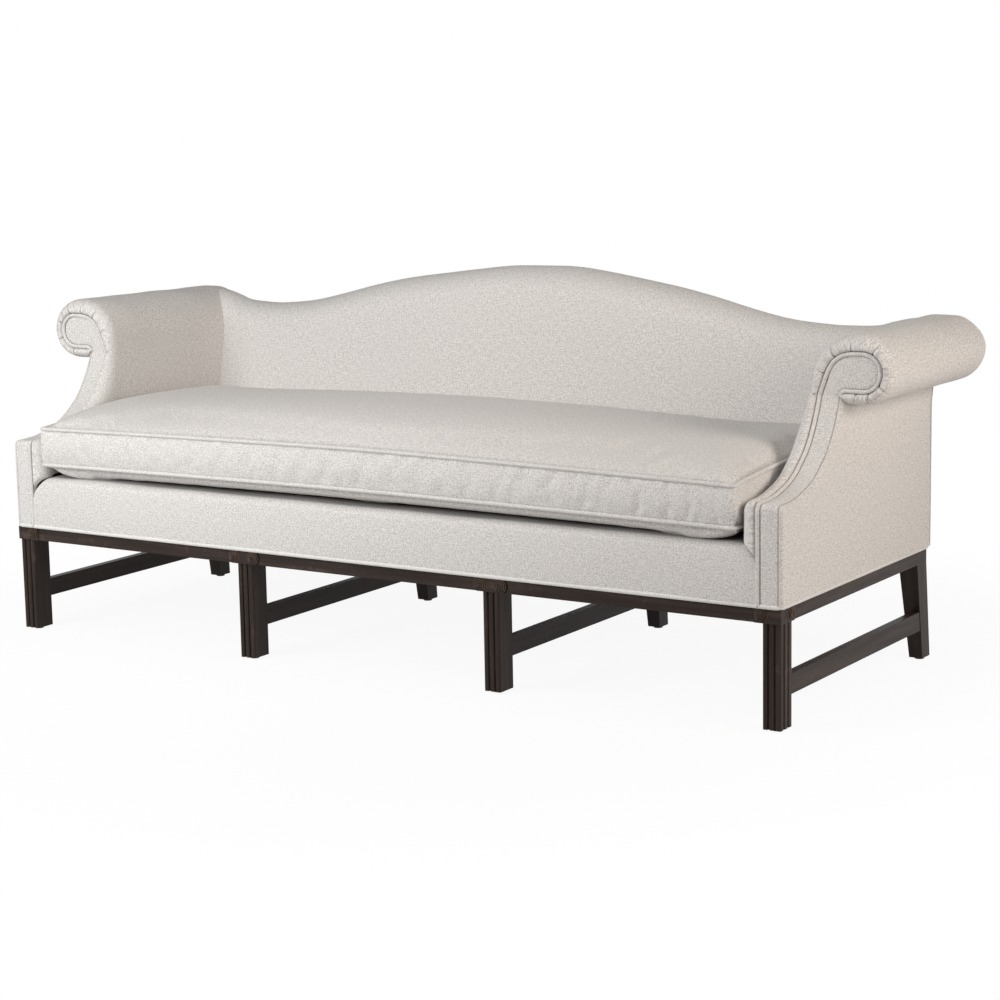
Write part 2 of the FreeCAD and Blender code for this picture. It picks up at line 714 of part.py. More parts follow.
def in_side_view(x):
    """Puts a point of the side view at the place x along the sofa."""
    return lambda y, z: Vector(float(x), y, z)


block_leg = size("block_leg")
corner_blocks = []
for end, corner_y, way in (("front", rail_back, 1), ("rear", rear_rail_front, -1)):
    triangle = ((arm_inner_face, corner_y), (arm_inner_face - block_leg, corner_y),
                (arm_inner_face, corner_y + way * block_leg))
    corner_block = flat(triangle, in_plan(apron_top)).extrude(Vector(0, 0, float(size("block_height"))))
    corner_blocks.append(shaped(f"corner_block_{end}", corner_block))
group("corner_blocks", corner_blocks + [twin(piece) for piece in corner_blocks])

# Seat webbing, deck and dust cover
strap_count = int(float(size("webbing_count")))
webbing_width = size("webbing_width")
strap_room = size("arm_inner_rear") * 2 - webbing_width
strap_length = back_frame_plane - seat_front
straps = []
for number in range(strap_count):
    strap_x = strap_room * number / (strap_count - 1) - size("arm_inner_rear")
    straps.append(block(f"seat_strap_{number + 1}", webbing_width, strap_length, webbing_thickness,
                        strap_x, seat_front, seat_rail_top))
group("seat_webbing", straps)
deck_bottom = seat_rail_top + webbing_thickness
lip_back = seat_front + size("border_lip")
deck_half = size("arm_inner_rear") - size("deck_gap")
deck_back = back_frame_plane - crest_thickness
keep(block("deck_pad", deck_half * 2, deck_back - lip_back - fit_gap, deck_top - deck_bottom,
           -deck_half, lip_back + fit_gap, deck_bottom), "deck_pad")
cloth_thickness = size("dust_cover_thickness")
keep(block("dust_cover", apron_inner_x * 2, apron_rear_y - apron_thickness, cloth_thickness,
           -apron_inner_x, apron_thickness, apron_top - cloth_thickness), "dust_cover")

def level_arc(low, high):
    """An arc between two points that runs level at the higher one."""
    run, rise = low[0] - high[0], high[1] - low[1]
    radius = (run ** 2 + rise ** 2) / (2 * rise)
    to_low = Vector(run, radius - rise, 0)
    to_middle = (to_low.normalize() + Vector(0, 1, 0)).normalize() * radius
    return high[0] + to_middle.x, high[1] - radius + to_middle.y


# Padded front edge of the seat: a rounded lip over the rail, lower at its ends under the arm pads
border = new_body("front_border")
border_half = arm_inner_face - fit_gap
lip = size("border_roundness")
slant = 1 - math.sqrt(0.5)
border_section = Outline(fit_gap, apron_top + fit_gap)
border_section.line(seat_front - fit_gap, apron_top + fit_gap)
border_section.line(seat_front - fit_gap, deck_bottom + fit_gap)
border_section.line(lip_back, deck_bottom + fit_gap)
border_section.line(lip_back, border_top)
border_section.line(lip - proud, border_top)
border_section.arc(-proud, border_top - lip, middle=(lip * slant - proud, border_top - lip * slant))
border_section.line(-proud, welt_clear)
border_section.line(fit_gap, welt_clear).closed()
pad(border, "border_run", border_section, "YZ_Plane", -border_half, border_half * 2)
drop = size("border_end_drop")
level_x = border_half - size("border_end_run")
end_middle = level_arc((float(border_half), float(border_end_top)), (float(level_x), float(border_top)))
for word, way in (("left", -1), ("right", 1)):
    end_section = Outline(way * level_x, border_top)
    end_section.arc(way * border_half, border_end_top, middle=(way * end_middle[0], end_middle[1]))
    end_section.line(way * (border_half + drop), border_end_top)
    end_section.line(way * (border_half + drop), border_top + drop)
    end_section.line(way * level_x, border_top + drop).closed()
    pocket(border, f"border_end_{word}", end_section, "XZ_Plane", -proud * 2, lip_back + proud * 4)
keep(border, "front_border")


# A reach past every side of the sofa, for what is cut away beyond a plane
far = float(base_half) * 2


def turned(degrees):
    """The unit vector at an angle, as a pair."""
    return math.cos(math.radians(degrees)), math.sin(math.radians(degrees))


def round_part(centre_u, centre_v, radius, begin, end):
    """An arc round a centre from one angle to another, in degrees."""
    spots = [turned(angle) for angle in (begin, end, (begin + end) / 2)]
    first, last, middle = [(centre_u + radius * u, centre_v + radius * v) for u, v in spots]
    return "arc", first, last, middle


def straight(first, last):
    return "line", first, last, None


def in_space(edges, at):
    """Edges of a plane as edges in space, each point put there by the function at."""
    made = []
    for kind, first, last, middle in edges:
        if kind == "line":
            made.append(Part.LineSegment(at(*first), at(*last)).toShape())
        else:
            made.append(Part.Arc(at(*first), at(*middle), at(*last)).toShape())
    return made


def backwards(edges):
    """A run of edges from its last point to its first."""
    return [(kind, last, first, middle) for kind, first, last, middle in reversed(edges)]


def between(outer, inner):
    """A closed band from one run of edges to another that runs the same way."""
    back = backwards(inner)
    return outer + [straight(outer[-1][2], back[0][1])] + back + [straight(back[-1][2], outer[0][1])]


def prism(edges, at, way):
    """The solid that a closed run of edges sweeps along the vector way."""
    return Part.Face(Part.Wire(in_space(edges, at))).extrude(way)


def across(edges, low, high):
    """A prism of a side view from low to high along the sofa."""
    return prism(edges, in_side_view(low), Vector(float(high) - float(low), 0, 0))


def along(edges, low, high):
    """A prism of a front view from low to high in depth."""
    return prism(edges, in_front_view(low), Vector(0, float(high) - float(low), 0))


def corners(*points):
    """A closed run of straight edges through points."""
    spots = [(float(u), float(v)) for u, v in points]
    return [straight(a, b) for a, b in zip(spots, spots[1:] + spots[:1])]


# The front of an arm from the side: upright, then a concave sweep up to the face of the scroll.
# Every arc of the sweep leaves along the heading with which the one before it ends.
arm_face_y = float(size("arm_face_y"))
arm_front_height = float(size("arm_front_height"))
corner_radius = float(size("arm_corner_radius"))
sweep_points = [(arm_face_y + corner_radius, arm_front_height)]
for word in ("low", "mid", "high", "neck"):
    rise = float(size(f"sweep_{word}_rise"))
    sweep_points.append((float(size(f"sweep_{word}_y")), arm_front_height + rise))
sweep_headings = [0.0]
for here, there in zip(sweep_points, sweep_points[1:]):
    chord = math.degrees(math.atan2(there[1] - here[1], there[0] - here[0]))
    sweep_headings.append(2 * chord - sweep_headings[-1])
last_run = float(scroll_face_y) - sweep_points[-1][0]
last_chord = math.radians((sweep_headings[-1] + 90) / 2)
scroll_start_z = sweep_points[-1][1] + last_run * math.tan(last_chord)
sweep_points.append((float(scroll_face_y), scroll_start_z))
sweep_headings.append(90.0)


def moved_in(point, heading, inward):
    """A point of the sweep moved square to its heading into the arm."""
    y, z = turned(heading - 90)
    return point[0] + inward * y, point[1] + inward * z


def sweep(inward):
    """The swept part of an arm front, moved into the arm."""
    edges = []
    for number in range(len(sweep_points) - 1):
        here, there = sweep_points[number], sweep_points[number + 1]
        begin, end = sweep_headings[number], sweep_headings[number + 1]
        half = math.radians((end - begin) / 4)
        reach = math.dist(here, there) / 2 / math.cos(half)
        y, z = turned((begin * 3 + end) / 4)
        middle = (here[0] + reach * y, here[1] + reach * z)
        edges.append(("arc", moved_in(here, begin, inward), moved_in(there, end, inward),
                      moved_in(middle, (begin + end) / 2, inward)))
    return edges


def arm_front(inward, low):
    """The whole front of an arm from the height low to the scroll, moved into the arm."""
    corner = round_part(arm_face_y + corner_radius, arm_front_height - corner_radius,
                        corner_radius - inward, 180, 90)
    return [straight((arm_face_y + inward, float(low)), corner[1]), corner] + sweep(inward)


# The scroll from the front: the line of the cord round it, and outlines parallel to that line
scroll_top = float(roll_z + scroll_radius)
shoulder_radius = scroll_top - scroll_start_z
shoulder_x = float(arm_inner_welt) + shoulder_radius
neck_x = float(arm_inner_welt + welt_radius + fit_gap * 2 + size("arm_panel_width") + welt_radius / 4)
neck_radius = float(size("neck_radius"))


def scroll(grow):
    """From the inner shoulder of the scroll over its head to the underside of its centre."""
    radius = float(scroll_radius) + grow
    head_x, head_z = float(roll_x), float(roll_z)
    shoulder = round_part(shoulder_x, scroll_start_z, shoulder_radius + grow, 180, 90)
    outer = round_part(head_x, head_z, radius, 90, 0)
    under = round_part(head_x, head_z, radius, 0, -90)
    return [shoulder, straight(shoulder[2], outer[1]), outer, under]


def tube(edges, radius):
    """A round cord along edges that meet without a corner."""
    path = Part.Wire(edges)
    first = edges[0]
    begin = first.firstVertex(True).Point
    way = first.tangentAt(first.FirstParameter if first.Orientation == "Forward" else first.LastParameter)
    circle = Part.Wire(Part.Circle(begin, way, float(radius)).toShape())
    return path.makePipeShell([circle], True, False)


def rounded(points, radius):
    """A closed run of straight edges through points, its corners turned with a radius."""
    radius = float(radius)
    spots = [Vector(float(u), float(v), 0) for u, v in points]
    turns = []
    for number, spot in enumerate(spots):
        before = (spots[number - 1] - spot).normalize()
        after = (spots[(number + 1) % len(spots)] - spot).normalize()
        half = before.getAngle(after) / 2
        reach = radius / math.tan(half)
        middle = spot + (before + after).normalize() * (radius / math.sin(half) - radius)
        ends = (spot + before * reach, spot + after * reach, middle)
        turns.append(("arc",) + tuple((end.x, end.y) for end in ends))
    edges = []
    for number, turn in enumerate(turns):
        edges += [turn, straight(turn[2], turns[(number + 1) % len(turns)][1])]
    return edges


def cord_round(points, z, turn, radius):
    """A round cord that closes on itself through points of the plan at the height z."""
    return tube(in_space(rounded(points, turn), in_plan(z)), radius)


# Covered cord along the top of the show wood, all the way round
cord_x = body_half - base_welt_radius
cord_front = -base_welt_radius
cord_back = back_plane - base_welt_radius
base_corners = ((-cord_x, cord_front), (cord_x, cord_front), (cord_x, cord_back), (-cord_x, cord_back))
cord_z = apron_top + fit_gap + base_welt_radius
cord_turn = base_welt_radius * 2
base_room = cord_round(base_corners, cord_z, cord_turn, base_welt_radius + fit_gap)
keep(shaped("base_welt", cord_round(base_corners, cord_z, cord_turn, base_welt_radius)), "base_welt")

arm_rail_top = roll_z - scroll_radius - fit_gap - welt_radius
panel_low = float(arm_inner_welt + welt_radius + fit_gap)
panel_high = panel_low + float(size("arm_panel_width"))

# Cord round the front of an arm: up its inner edge, round the scroll and into the neck
cord_out = -float(welt_radius) / 8
cord_rise = arm_front(cord_out, welt_clear + welt_radius)
cord_head = scroll(0)
head_bottom = cord_head[-1][2]
neck_turn = round_part(neck_x + neck_radius, head_bottom[1] - neck_radius, neck_radius, 90, 180)
cord_head += [straight(head_bottom, neck_turn[1]), neck_turn]
cord_edges = in_space(cord_rise, in_side_view(arm_inner_welt))
cord_edges += in_space(cord_head, in_front_view(float(scroll_face_y) + cord_out))
pair(shaped("arm_front_welt", tube(cord_edges, welt_radius)), "arm_front_welt")
cord_room = tube(cord_edges, welt_radius + fit_gap)

# Padded facing of an arm front: the swept band and the face of the scroll in one
facing_view = between(arm_front(0, welt_clear), arm_front(float(arm_facing), welt_clear))
facing = across(facing_view, panel_low, panel_high)
inset = float(welt_radius + fit_gap)
face_head = scroll(-inset)
face_turn = round_part(neck_x + neck_radius, head_bottom[1] - neck_radius, neck_radius + inset, 90, 180)
face_foot = (panel_low, face_turn[2][1])
face_edges = face_head + [straight(face_head[-1][2], face_turn[1]), face_turn,
                          straight(face_turn[2], face_foot), straight(face_foot, face_head[0][1])]
over_corner = Vector(-far, -far, float(arm_rail_top))
over_arm = Part.makeBox(far * 2, far * 2, far, over_corner)
face_plate = along(face_edges, scroll_face_y, scroll_face_y + arm_facing).common(over_arm)
pair(shaped("arm_facing", facing.fuse(face_plate).cut(cord_room)), "arm_facing")

# Swept arm post, sawn from a thick plank, and the board behind the scroll
post_in = float(arm_facing + fit_gap)
post_run = arm_front(post_in, apron_top)
post_depth = float(size("arm_post_depth"))
waist = moved_in(sweep_points[3], sweep_headings[3], post_in + post_depth)
post_back_y = arm_face_y + post_in + post_depth
post_top_back = (post_run[-1][2][0] + post_depth, post_run[-1][2][1])
knee = (post_back_y, waist[1] - (waist[0] - post_back_y) * float(size("post_knee_share")))
post_edges = post_run + [straight(post_run[-1][2], post_top_back),
                         ("arc", post_top_back, knee, waist),
                         straight(knee, (post_back_y, float(apron_top))),
                         straight((post_back_y, float(apron_top)), post_run[0][1])]
arm_post_shape = across(post_edges, arm_inner_face, arm_outer_face)
arm_post_shape = arm_post_shape.cut(over_arm).cut(cord_room).cut(base_room)
pair(shaped("arm_post", arm_post_shape), "arm_post")
board_front = scroll_face_y + arm_facing + fit_gap
board_back = board_front + size("scroll_board_thickness")
board_grow = float(welt_radius)
board_head = scroll(board_grow)
board_foot = (board_head[0][1][0], board_head[-1][2][1])
board_edges = board_head + [straight(board_head[-1][2], board_foot), straight(board_foot, board_head[0][1])]
pair(shaped("scroll_board", along(board_edges, board_front, board_back)), "scroll_board")


def side_profile(front, z_low, z_high, thickness):
    """The side view of a board that stands upright and leans back above the start of the rake."""
    front, thickness = float(front), float(thickness)
    low, high, bend = float(z_low), float(z_high), float(rake_start)
    lean = float(rake) * (high - bend)
    return corners((front, low), (front, bend), (front + lean, high), (front + thickness + lean, high),
                   (front + thickness, bend), (front + thickness, low))


def behind(plane):
    """All the room behind a plane that leans as the back does."""
    return across(side_profile(plane, -far, far, far), -far, far)


# Back posts, raked above the seat, and the rails of the arms between the posts
back_post_top = scroll_start_z
post_profile = side_profile(post_front, apron_top, back_post_top, size("back_post_depth"))
back_post_shape = across(post_profile, arm_inner_face, arm_outer_face).cut(base_room)
pair(shaped("back_post", back_post_shape), "back_post")
rail_low = arm_rail_top - size("arm_rail_height")
rail_blank = Part.makeBox(float(arm_width), float(back_plane - scroll_face_y), float(size("arm_rail_height")),
                          Vector(float(arm_inner_face), float(scroll_face_y), float(rail_low)))
arm_rail_shape = rail_blank.cut(arm_post_shape).cut(back_post_shape).cut(behind(post_front))
arm_rail_shape = max(arm_rail_shape.Solids, key=lambda solid: solid.Volume)
arm_rail = shaped("arm_rail", arm_rail_shape)
group("arm_top_rails", [arm_rail, twin(arm_rail)])
tack_low = seat_rail_top + size("arm_tack_gap")
tack = block("arm_tack_rail", seat_rail_thickness, post_front - post_back_y, size("arm_tack_height"),
             arm_inner_face, Size.of(post_back_y), tack_low)
group("arm_tack_rails", [tack, twin(tack)])

# Outer arm panel, its front edge along the sweep
panel_front = arm_front(1, welt_clear)
panel_top = float(arm_rail_top)
back_y = float(back_frame_plane)
top_lean = float(rake) * (panel_top - float(rake_start))
panel_edges = panel_front + [straight(panel_front[-1][2], (back_y + top_lean, panel_front[-1][2][1])),
                             straight((back_y + top_lean, panel_front[-1][2][1]), (back_y, float(rake_start))),
                             straight((back_y, float(rake_start)), (back_y, float(welt_clear))),
                             straight((back_y, float(welt_clear)), panel_front[0][1])]
panel_shape = across(panel_edges, arm_outer_face + fit_gap, body_half)
panel_shape = panel_shape.cut(over_arm).cut(behind(back_frame_plane)).cut(cord_room)
pair(shaped("outer_arm_panel", panel_shape), "outer_arm_panel")

# Crest line of the back: a hump, straight flanks, a dip beside each arm and a climb to the arm
hump_half = float(size("hump_half"))
hump_drop = float(size("hump_drop"))
hump_radius = (hump_half ** 2 + hump_drop ** 2) / (2 * hump_drop)
flank_angle = math.degrees(math.asin(hump_half / hump_radius))
flank_end = float(size("flank_end"))
flank_drop = hump_drop + (flank_end - hump_half) * math.tan(math.radians(flank_angle))
dip_x = float(size("dip_x"))
dip_radius = (dip_x - flank_end) / math.sin(math.radians(flank_angle))
dip_z = float(crest_height) - flank_drop - dip_radius * (1 - math.cos(math.radians(flank_angle)))
ear_run = float(size("ear_run"))
ear_rise = float(size("ear_rise"))
ear_radius = (ear_run ** 2 + ear_rise ** 2) / (2 * ear_rise)
hump_centre = float(crest_height) - hump_radius


def crest(x):
    """The height of the crest line at a place along the sofa."""
    x = abs(x)
    if x <= hump_half:
        return hump_centre + math.sqrt(hump_radius ** 2 - x ** 2)
    if x <= flank_end:
        return float(crest_height) - hump_drop - (x - hump_half) * math.tan(math.radians(flank_angle))
    if x <= dip_x:
        return dip_z + dip_radius - math.sqrt(dip_radius ** 2 - (dip_x - x) ** 2)
    return dip_z + ear_radius - math.sqrt(ear_radius ** 2 - (x - dip_x) ** 2)


def crest_run(down, reach):
    """The crest line moved down square to itself, from -reach to reach."""
    down = float(down)
    hump = round_part(0, hump_centre, hump_radius - down, 90 + flank_angle, 90 - flank_angle)
    dip_arc = round_part(dip_x, dip_z + dip_radius, dip_radius + down, 270 - flank_angle, 270)
    end_angle = 270 + math.degrees(math.asin((float(reach) - dip_x) / (ear_radius + down)))
    climb = round_part(dip_x, dip_z + ear_radius, ear_radius + down, 270, end_angle)
    half = [straight(hump[2], dip_arc[1]), dip_arc, climb]
    other = []
    for kind, first, last, middle in reversed(half):
        other.append((kind, (-last[0], last[1]), (-first[0], first[1]),
                      None if middle is None else (-middle[0], middle[1])))
    return other + [hump] + half


def leaning_board(front_view, front, thickness, grow=0):
    """A board with a front view and the side view of the leaning back."""
    plane = float(front) - grow
    slab = across(side_profile(plane, -far, far, float(thickness) + grow * 2), -far, far)
    return slab.common(along(front_view, -far, far))


# Crest rail, lower rail, uprights and webbing of the back
crest_wrap = size("crest_wrap")
crest_rail_height = size("crest_rail_height")
back_frame_front = back_frame_plane - crest_thickness
rail_reach = arm_inner_face
crest_down = float(crest_wrap + fit_gap)


def crest_rail_view(grow):
    """The front view of the crest rail."""
    top = crest_run(crest_down - grow, float(rail_reach) + grow)
    low = crest_run(crest_down + float(crest_rail_height) + grow, float(rail_reach) + grow)
    return between(top, low)


crest_rail_shape = leaning_board(crest_rail_view(0), back_frame_front, crest_thickness)
keep(shaped("crest_rail", crest_rail_shape), "crest_rail")
low_rail_z = size("back_rail_bottom")
low_rail_top = low_rail_z + size("back_rail_height")
keep(block("lower_back_rail", arm_inner_face * 2, crest_thickness, size("back_rail_height"),
           -arm_inner_face, back_frame_front, low_rail_z), "lower_back_rail")
stile_near, stile_far = middle_leg_x - crest_rail_height / 4, middle_leg_x + crest_rail_height / 4
stile_edges = corners((stile_near, low_rail_top), (stile_far, low_rail_top),
                      (stile_far, crest_height), (stile_near, crest_height))
stile_shape = leaning_board(stile_edges, back_frame_front, crest_thickness).cut(crest_rail_shape)
stile_shape = min(stile_shape.Solids, key=lambda solid: solid.CenterOfMass.z)
stile = shaped("back_upright", stile_shape)
group("back_uprights", [stile, twin(stile)])
back_strap_count = int(float(size("back_strap_count")))
strap_half = float(webbing_width) / 2
strap_span = float(size("arm_inner_rear")) - strap_half * 2
back_straps = []
for number in range(back_strap_count):
    centre = strap_span * (2 * number / (back_strap_count - 1) - 1)
    top = min(crest(centre - strap_half), crest(centre + strap_half)) - crest_down
    top -= float(crest_rail_height) / 2
    view = corners((centre - strap_half, low_rail_z), (centre + strap_half, low_rail_z),
                   (centre + strap_half, top), (centre - strap_half, top))
    back_straps.append(shaped(f"back_strap_{number + 1}",
                              leaning_board(view, back_frame_front - webbing_thickness, webbing_thickness)))
group("back_webbing", back_straps)


# Arms: the inside pad and the roll, narrower at the front than at the back
roll_top = roll_z + roll_radius
roll_shoulder_z = float(roll_top - size("roll_inner_radius"))
pad_low = border_end_top + fit_gap
roll_split = scroll_start_z - float(neck_radius * 2)
arm_rear_y = float(back_reach) + 10
front_faces = (float(size("arm_inner_front")), float(size("roll_inner_front")))
rear_faces = (float(size("arm_inner_rear")), float(size("arm_inner_rear")))


def roll_over(shoulder, grow):
    """From the inner shoulder of the roll over its top and round to its underside."""
    inner_radius = float(size("roll_inner_radius"))
    radius = float(roll_radius) + grow
    inner = round_part(shoulder + inner_radius, roll_shoulder_z, inner_radius + grow, 180, 90)
    outer = round_part(float(roll_x), float(roll_z), radius, 90, 0)
    under = round_part(float(roll_x), float(roll_z), radius, 0, -90)
    return [inner, straight(inner[2], outer[1]), outer, under]


def roll_section(faces):
    """The padding round the scroll board and the core, open at the neck."""
    over = roll_over(faces[1], 0)
    inside = scroll(board_grow + float(pad_gap))
    outer_x = float(body_half + fit_gap)
    under = over[-1][2]
    inner_under = inside[-1][2]
    start = (faces[1], roll_split + float(fit_gap))
    inner_start = (inside[0][1][0], start[1])
    return ([straight(start, over[0][1])] + over
            + [straight(under, (outer_x, under[1])), straight((outer_x, under[1]), (outer_x, inner_under[1])),
               straight((outer_x, inner_under[1]), inner_under)]
            + backwards(inside)
            + [straight(inside[0][1], inner_start), straight(inner_start, start)])


def ear_section(faces):
    """The whole end of a roll as the outer back closes it."""
    over = roll_over(faces[1], 0)
    foot = (faces[1], over[-1][2][1])
    return over + [straight(over[-1][2], foot), straight(foot, over[0][1])]


def slab_section(faces):
    """The inside pad of an arm below the roll."""
    back_x = float(arm_inner_face - fit_gap)
    return corners((faces[0], pad_low), (faces[0], size("arm_lean_start")), (faces[1], roll_split),
                   (back_x, roll_split), (back_x, pad_low))


def envelope_section(faces, grow):
    """Everything outside the inner face of an arm, for what must stay clear of it."""
    over = roll_over(faces[1], grow)
    low = (faces[0] - grow, 0)
    lean = (faces[0] - grow, float(size("arm_lean_start")))
    return ([straight(low, lean), straight(lean, over[0][1])] + over[:2]
            + [straight(over[1][2], (far, over[1][2][1])), straight((far, over[1][2][1]), (far, 0)),
               straight((far, 0), low)])


def arm_loft(section, front, **more):
    """A solid along an arm, through its section at the front, at the scroll and at the back."""
    rings = []
    stations = [(float(scroll_face_y), front_faces), (arm_rear_y, rear_faces)]
    if front < float(scroll_face_y):
        stations.insert(0, (front, front_faces))
    for y, faces in stations:
        rings.append(Part.Wire(in_space(section(faces, **more), in_front_view(y))))
    return Part.makeLoft(rings, True, True)


pad_proud = float(size("arm_pad_proud"))
pad_face_y = arm_face_y - float(size("arm_pad_front"))
pad_corner = corner_radius + float(size("arm_pad_front"))
pad_turn = round_part(sweep_points[0][0], arm_front_height + pad_proud - pad_corner, pad_corner, 180, 90)
pad_run = [straight((pad_face_y, float(pad_low)), pad_turn[1]), pad_turn] + sweep(-pad_proud)
pad_back = float(back_plane) * 1.5
pad_far = (pad_back, pad_run[-1][2][1])
pad_foot = (pad_back, float(pad_low))
pad_view = pad_run + [straight(pad_run[-1][2], pad_far), straight(pad_far, pad_foot),
                      straight(pad_foot, pad_run[0][1])]
roundness = float(size("arm_pad_roundness"))
inner_x, clear_x = front_faces[0], rear_faces[0] - roundness
front_turn = round_part(inner_x + roundness, pad_face_y + roundness, roundness, 180, 270)
plan = corners(front_turn[2], (arm_inner_face, pad_face_y), (arm_inner_face, pad_back), (clear_x, pad_back),
               (clear_x, front_turn[1][1]), front_turn[1])[:-1] + [front_turn]
inside_pad = arm_loft(slab_section, pad_face_y - pad_proud)
inside_pad = inside_pad.common(across(pad_view, clear_x, arm_inner_face))
inside_pad = inside_pad.common(prism(plan, in_plan(0), Vector(0, 0, float(crest_height))))
inside_pad = inside_pad.cut(behind(back_frame_front - fit_gap))
end_start = (float(level_x), float(border_top + fit_gap))
end_finish = (float(border_half + fit_gap), float(border_end_top))
end_low = (end_start[0], 0.0)
end_room = [straight(end_low, end_start), ("arc", end_start, end_finish, level_arc(end_finish, end_start)),
            straight(end_finish, (end_finish[0], 0.0)), straight((end_finish[0], 0.0), end_low)]
inside_pad = inside_pad.cut(along(end_room, pad_face_y - pad_proud, lip_back + fit_gap))
pair(shaped("inside_arm_pad", inside_pad), "inside_arm_pad")
roll = arm_loft(roll_section, float(scroll_face_y))
rail_room = leaning_board(crest_rail_view(float(pad_gap)), back_frame_front, crest_thickness, float(pad_gap))
roll = roll.cut(behind(back_frame_plane)).cut(rail_room)
pair(shaped("arm_roll_pad", roll), "arm_roll_pad")
core = along(board_edges, board_back + fit_gap, far).cut(behind(post_front - fit_gap))
roll_core = shaped("arm_roll_core", core)
group("arm_roll_cores", [roll_core, twin(roll_core)])

# Outer back panel with an ear behind each roll
centre_top = crest_run(crest_down + float(pad_gap), float(rail_reach))
view_low = float(welt_clear)
half_width = float(body_half)
centre_view = centre_top + [straight(centre_top[-1][2], (half_width, centre_top[-1][2][1])),
                            straight((half_width, centre_top[-1][2][1]), (half_width, view_low)),
                            straight((half_width, view_low), (-half_width, view_low)),
                            straight((-half_width, view_low), (-half_width, centre_top[0][1][1])),
                            straight((-half_width, centre_top[0][1][1]), centre_top[0][1])]
back_front = back_plane - panel_thickness
outer_back = leaning_board(centre_view, back_front, panel_thickness)
back_slab = across(side_profile(back_front, welt_clear, far, panel_thickness), -far, far)
ear = arm_loft(ear_section, float(scroll_face_y)).common(back_slab)
outer_back = outer_back.fuse(ear).fuse(ear.mirror(Vector(0, 0, 0), Vector(1, 0, 0)))
keep(shaped("outer_back_panel", outer_back), "outer_back_panel")

# Inside back: a crowned, raked pad that rolls over the crest
front_radius = float(size("crest_front_radius"))
rear_radius = float(size("crest_rear_radius"))
inside_rake = float(size("back_inside_rake"))
pad_bottom = float(deck_top + fit_gap)
pad_rear = float(back_frame_front - webbing_thickness - fit_gap)


def lean_at(z):
    return float(rake) * max(0, z - float(rake_start))


def back_section(x):
    """The side view of the inside back at one place along the sofa."""
    top = crest(x)
    crown_share = max(0, 1 - (abs(x) / float(size("arm_inner_rear"))) ** 4)
    face = float(back_plane - size("back_thickness")) - float(size("back_crown")) * crown_share

    def inside(z):
        return face + inside_rake * (z - float(size("back_inside_z")))

    rear = float(back_plane)
    wrap = (rear + lean_at(top - float(crest_wrap)), top - float(crest_wrap))
    foot = (inside(pad_bottom), pad_bottom)
    front = (inside(top - front_radius), top - front_radius)
    crest_point = (rear + lean_at(top) - rear_radius, top)
    rear_point = (rear + lean_at(top - rear_radius), top - rear_radius)
    step = (pad_rear + lean_at(wrap[1]), wrap[1])
    bend = (pad_rear, float(rake_start))
    heel = (pad_rear, pad_bottom)
    return [straight(foot, front),
            ("arc", front, crest_point, level_arc(front, crest_point)),
            ("arc", crest_point, rear_point, level_arc(rear_point, crest_point)),
            straight(rear_point, wrap), straight(wrap, step), straight(step, bend), straight(bend, heel),
            straight(heel, foot)]


half_places = [hump_half / 2, hump_half, flank_end, (flank_end + dip_x) / 2, dip_x, dip_x + ear_run,
               dip_x + ear_run * 1.5]
places = [-x for x in reversed(half_places)] + [0.0] + half_places
rings = [Part.Wire(in_space(back_section(x), in_side_view(x))) for x in places]
back_pad = Part.makeLoft(rings, True, False)
arm_room = arm_loft(envelope_section, pad_face_y * 2, grow=float(pad_gap))
back_pad = back_pad.cut(arm_room).cut(arm_room.mirror(Vector(0, 0, 0), Vector(1, 0, 0)))
back_pad = max(back_pad.Solids, key=lambda solid: solid.Volume)
keep(shaped("inside_back_pad", back_pad), "inside_back_pad")

# Loose bench cushion: crowned, with a bulging boxing between two corded seams
low_z, high_z = float(cushion_low_seam), float(cushion_high_seam)
rear_high = float(back_plane - size("back_thickness") - size("cushion_rear_gap"))
rear_low = rear_high - float(size("cushion_rear_slope"))
crown = float(size("cushion_crown"))
belly = float(size("cushion_belly"))
end_crown = float(size("cushion_end_crown"))
bulge = float(size("cushion_bulge"))
front_half = float(size("cushion_front_half"))
end_taper = (front_half - float(size("cushion_rear_half"))) / (rear_high - float(cushion_front))


def cushion_side(y):
    """Half the cushion's length at a depth; its ends draw in to the back."""
    return front_half - end_taper * (y - float(cushion_front))


def cushion_section(share, inward):
    """The closed section at a share of the half length; the seams are its four corners."""
    full = 1 - abs(share) ** 3
    top_rise = end_crown * 2 + (crown - end_crown * 2) * full
    belly_fall = end_crown / 2 + (belly - end_crown / 2) * full
    spots = []
    for y, z in ((float(cushion_front) + inward, low_z + inward), (rear_low - inward, low_z + inward),
                 (float(cushion_front) + inward, high_z - inward), (rear_high - inward, high_z - inward)):
        spots.append(Vector(share * (cushion_side(y) - inward), y, z))
    low_front, low_rear, high_front, high_rear = spots
    out = (low_front - low_rear).normalize() * bulge
    edges = [Part.Arc(low_front, (low_front + high_front) / 2 + out, high_front).toShape(),
             Part.Arc(high_front, (high_front + high_rear) / 2 + Vector(0, 0, top_rise), high_rear).toShape(),
             Part.LineSegment(high_rear, low_rear).toShape(),
             Part.Arc(low_rear, (low_front + low_rear) / 2 - Vector(0, 0, belly_fall), low_front).toShape()]
    return Part.Wire(edges)


def cushion_solid(inward):
    """The whole cushion, its surface moved inward at the seams."""
    shares = (-1, -0.94, -0.8, -0.5, 0, 0.5, 0.8, 0.94, 1)
    return Part.makeLoft([cushion_section(share, inward) for share in shares], True, False)


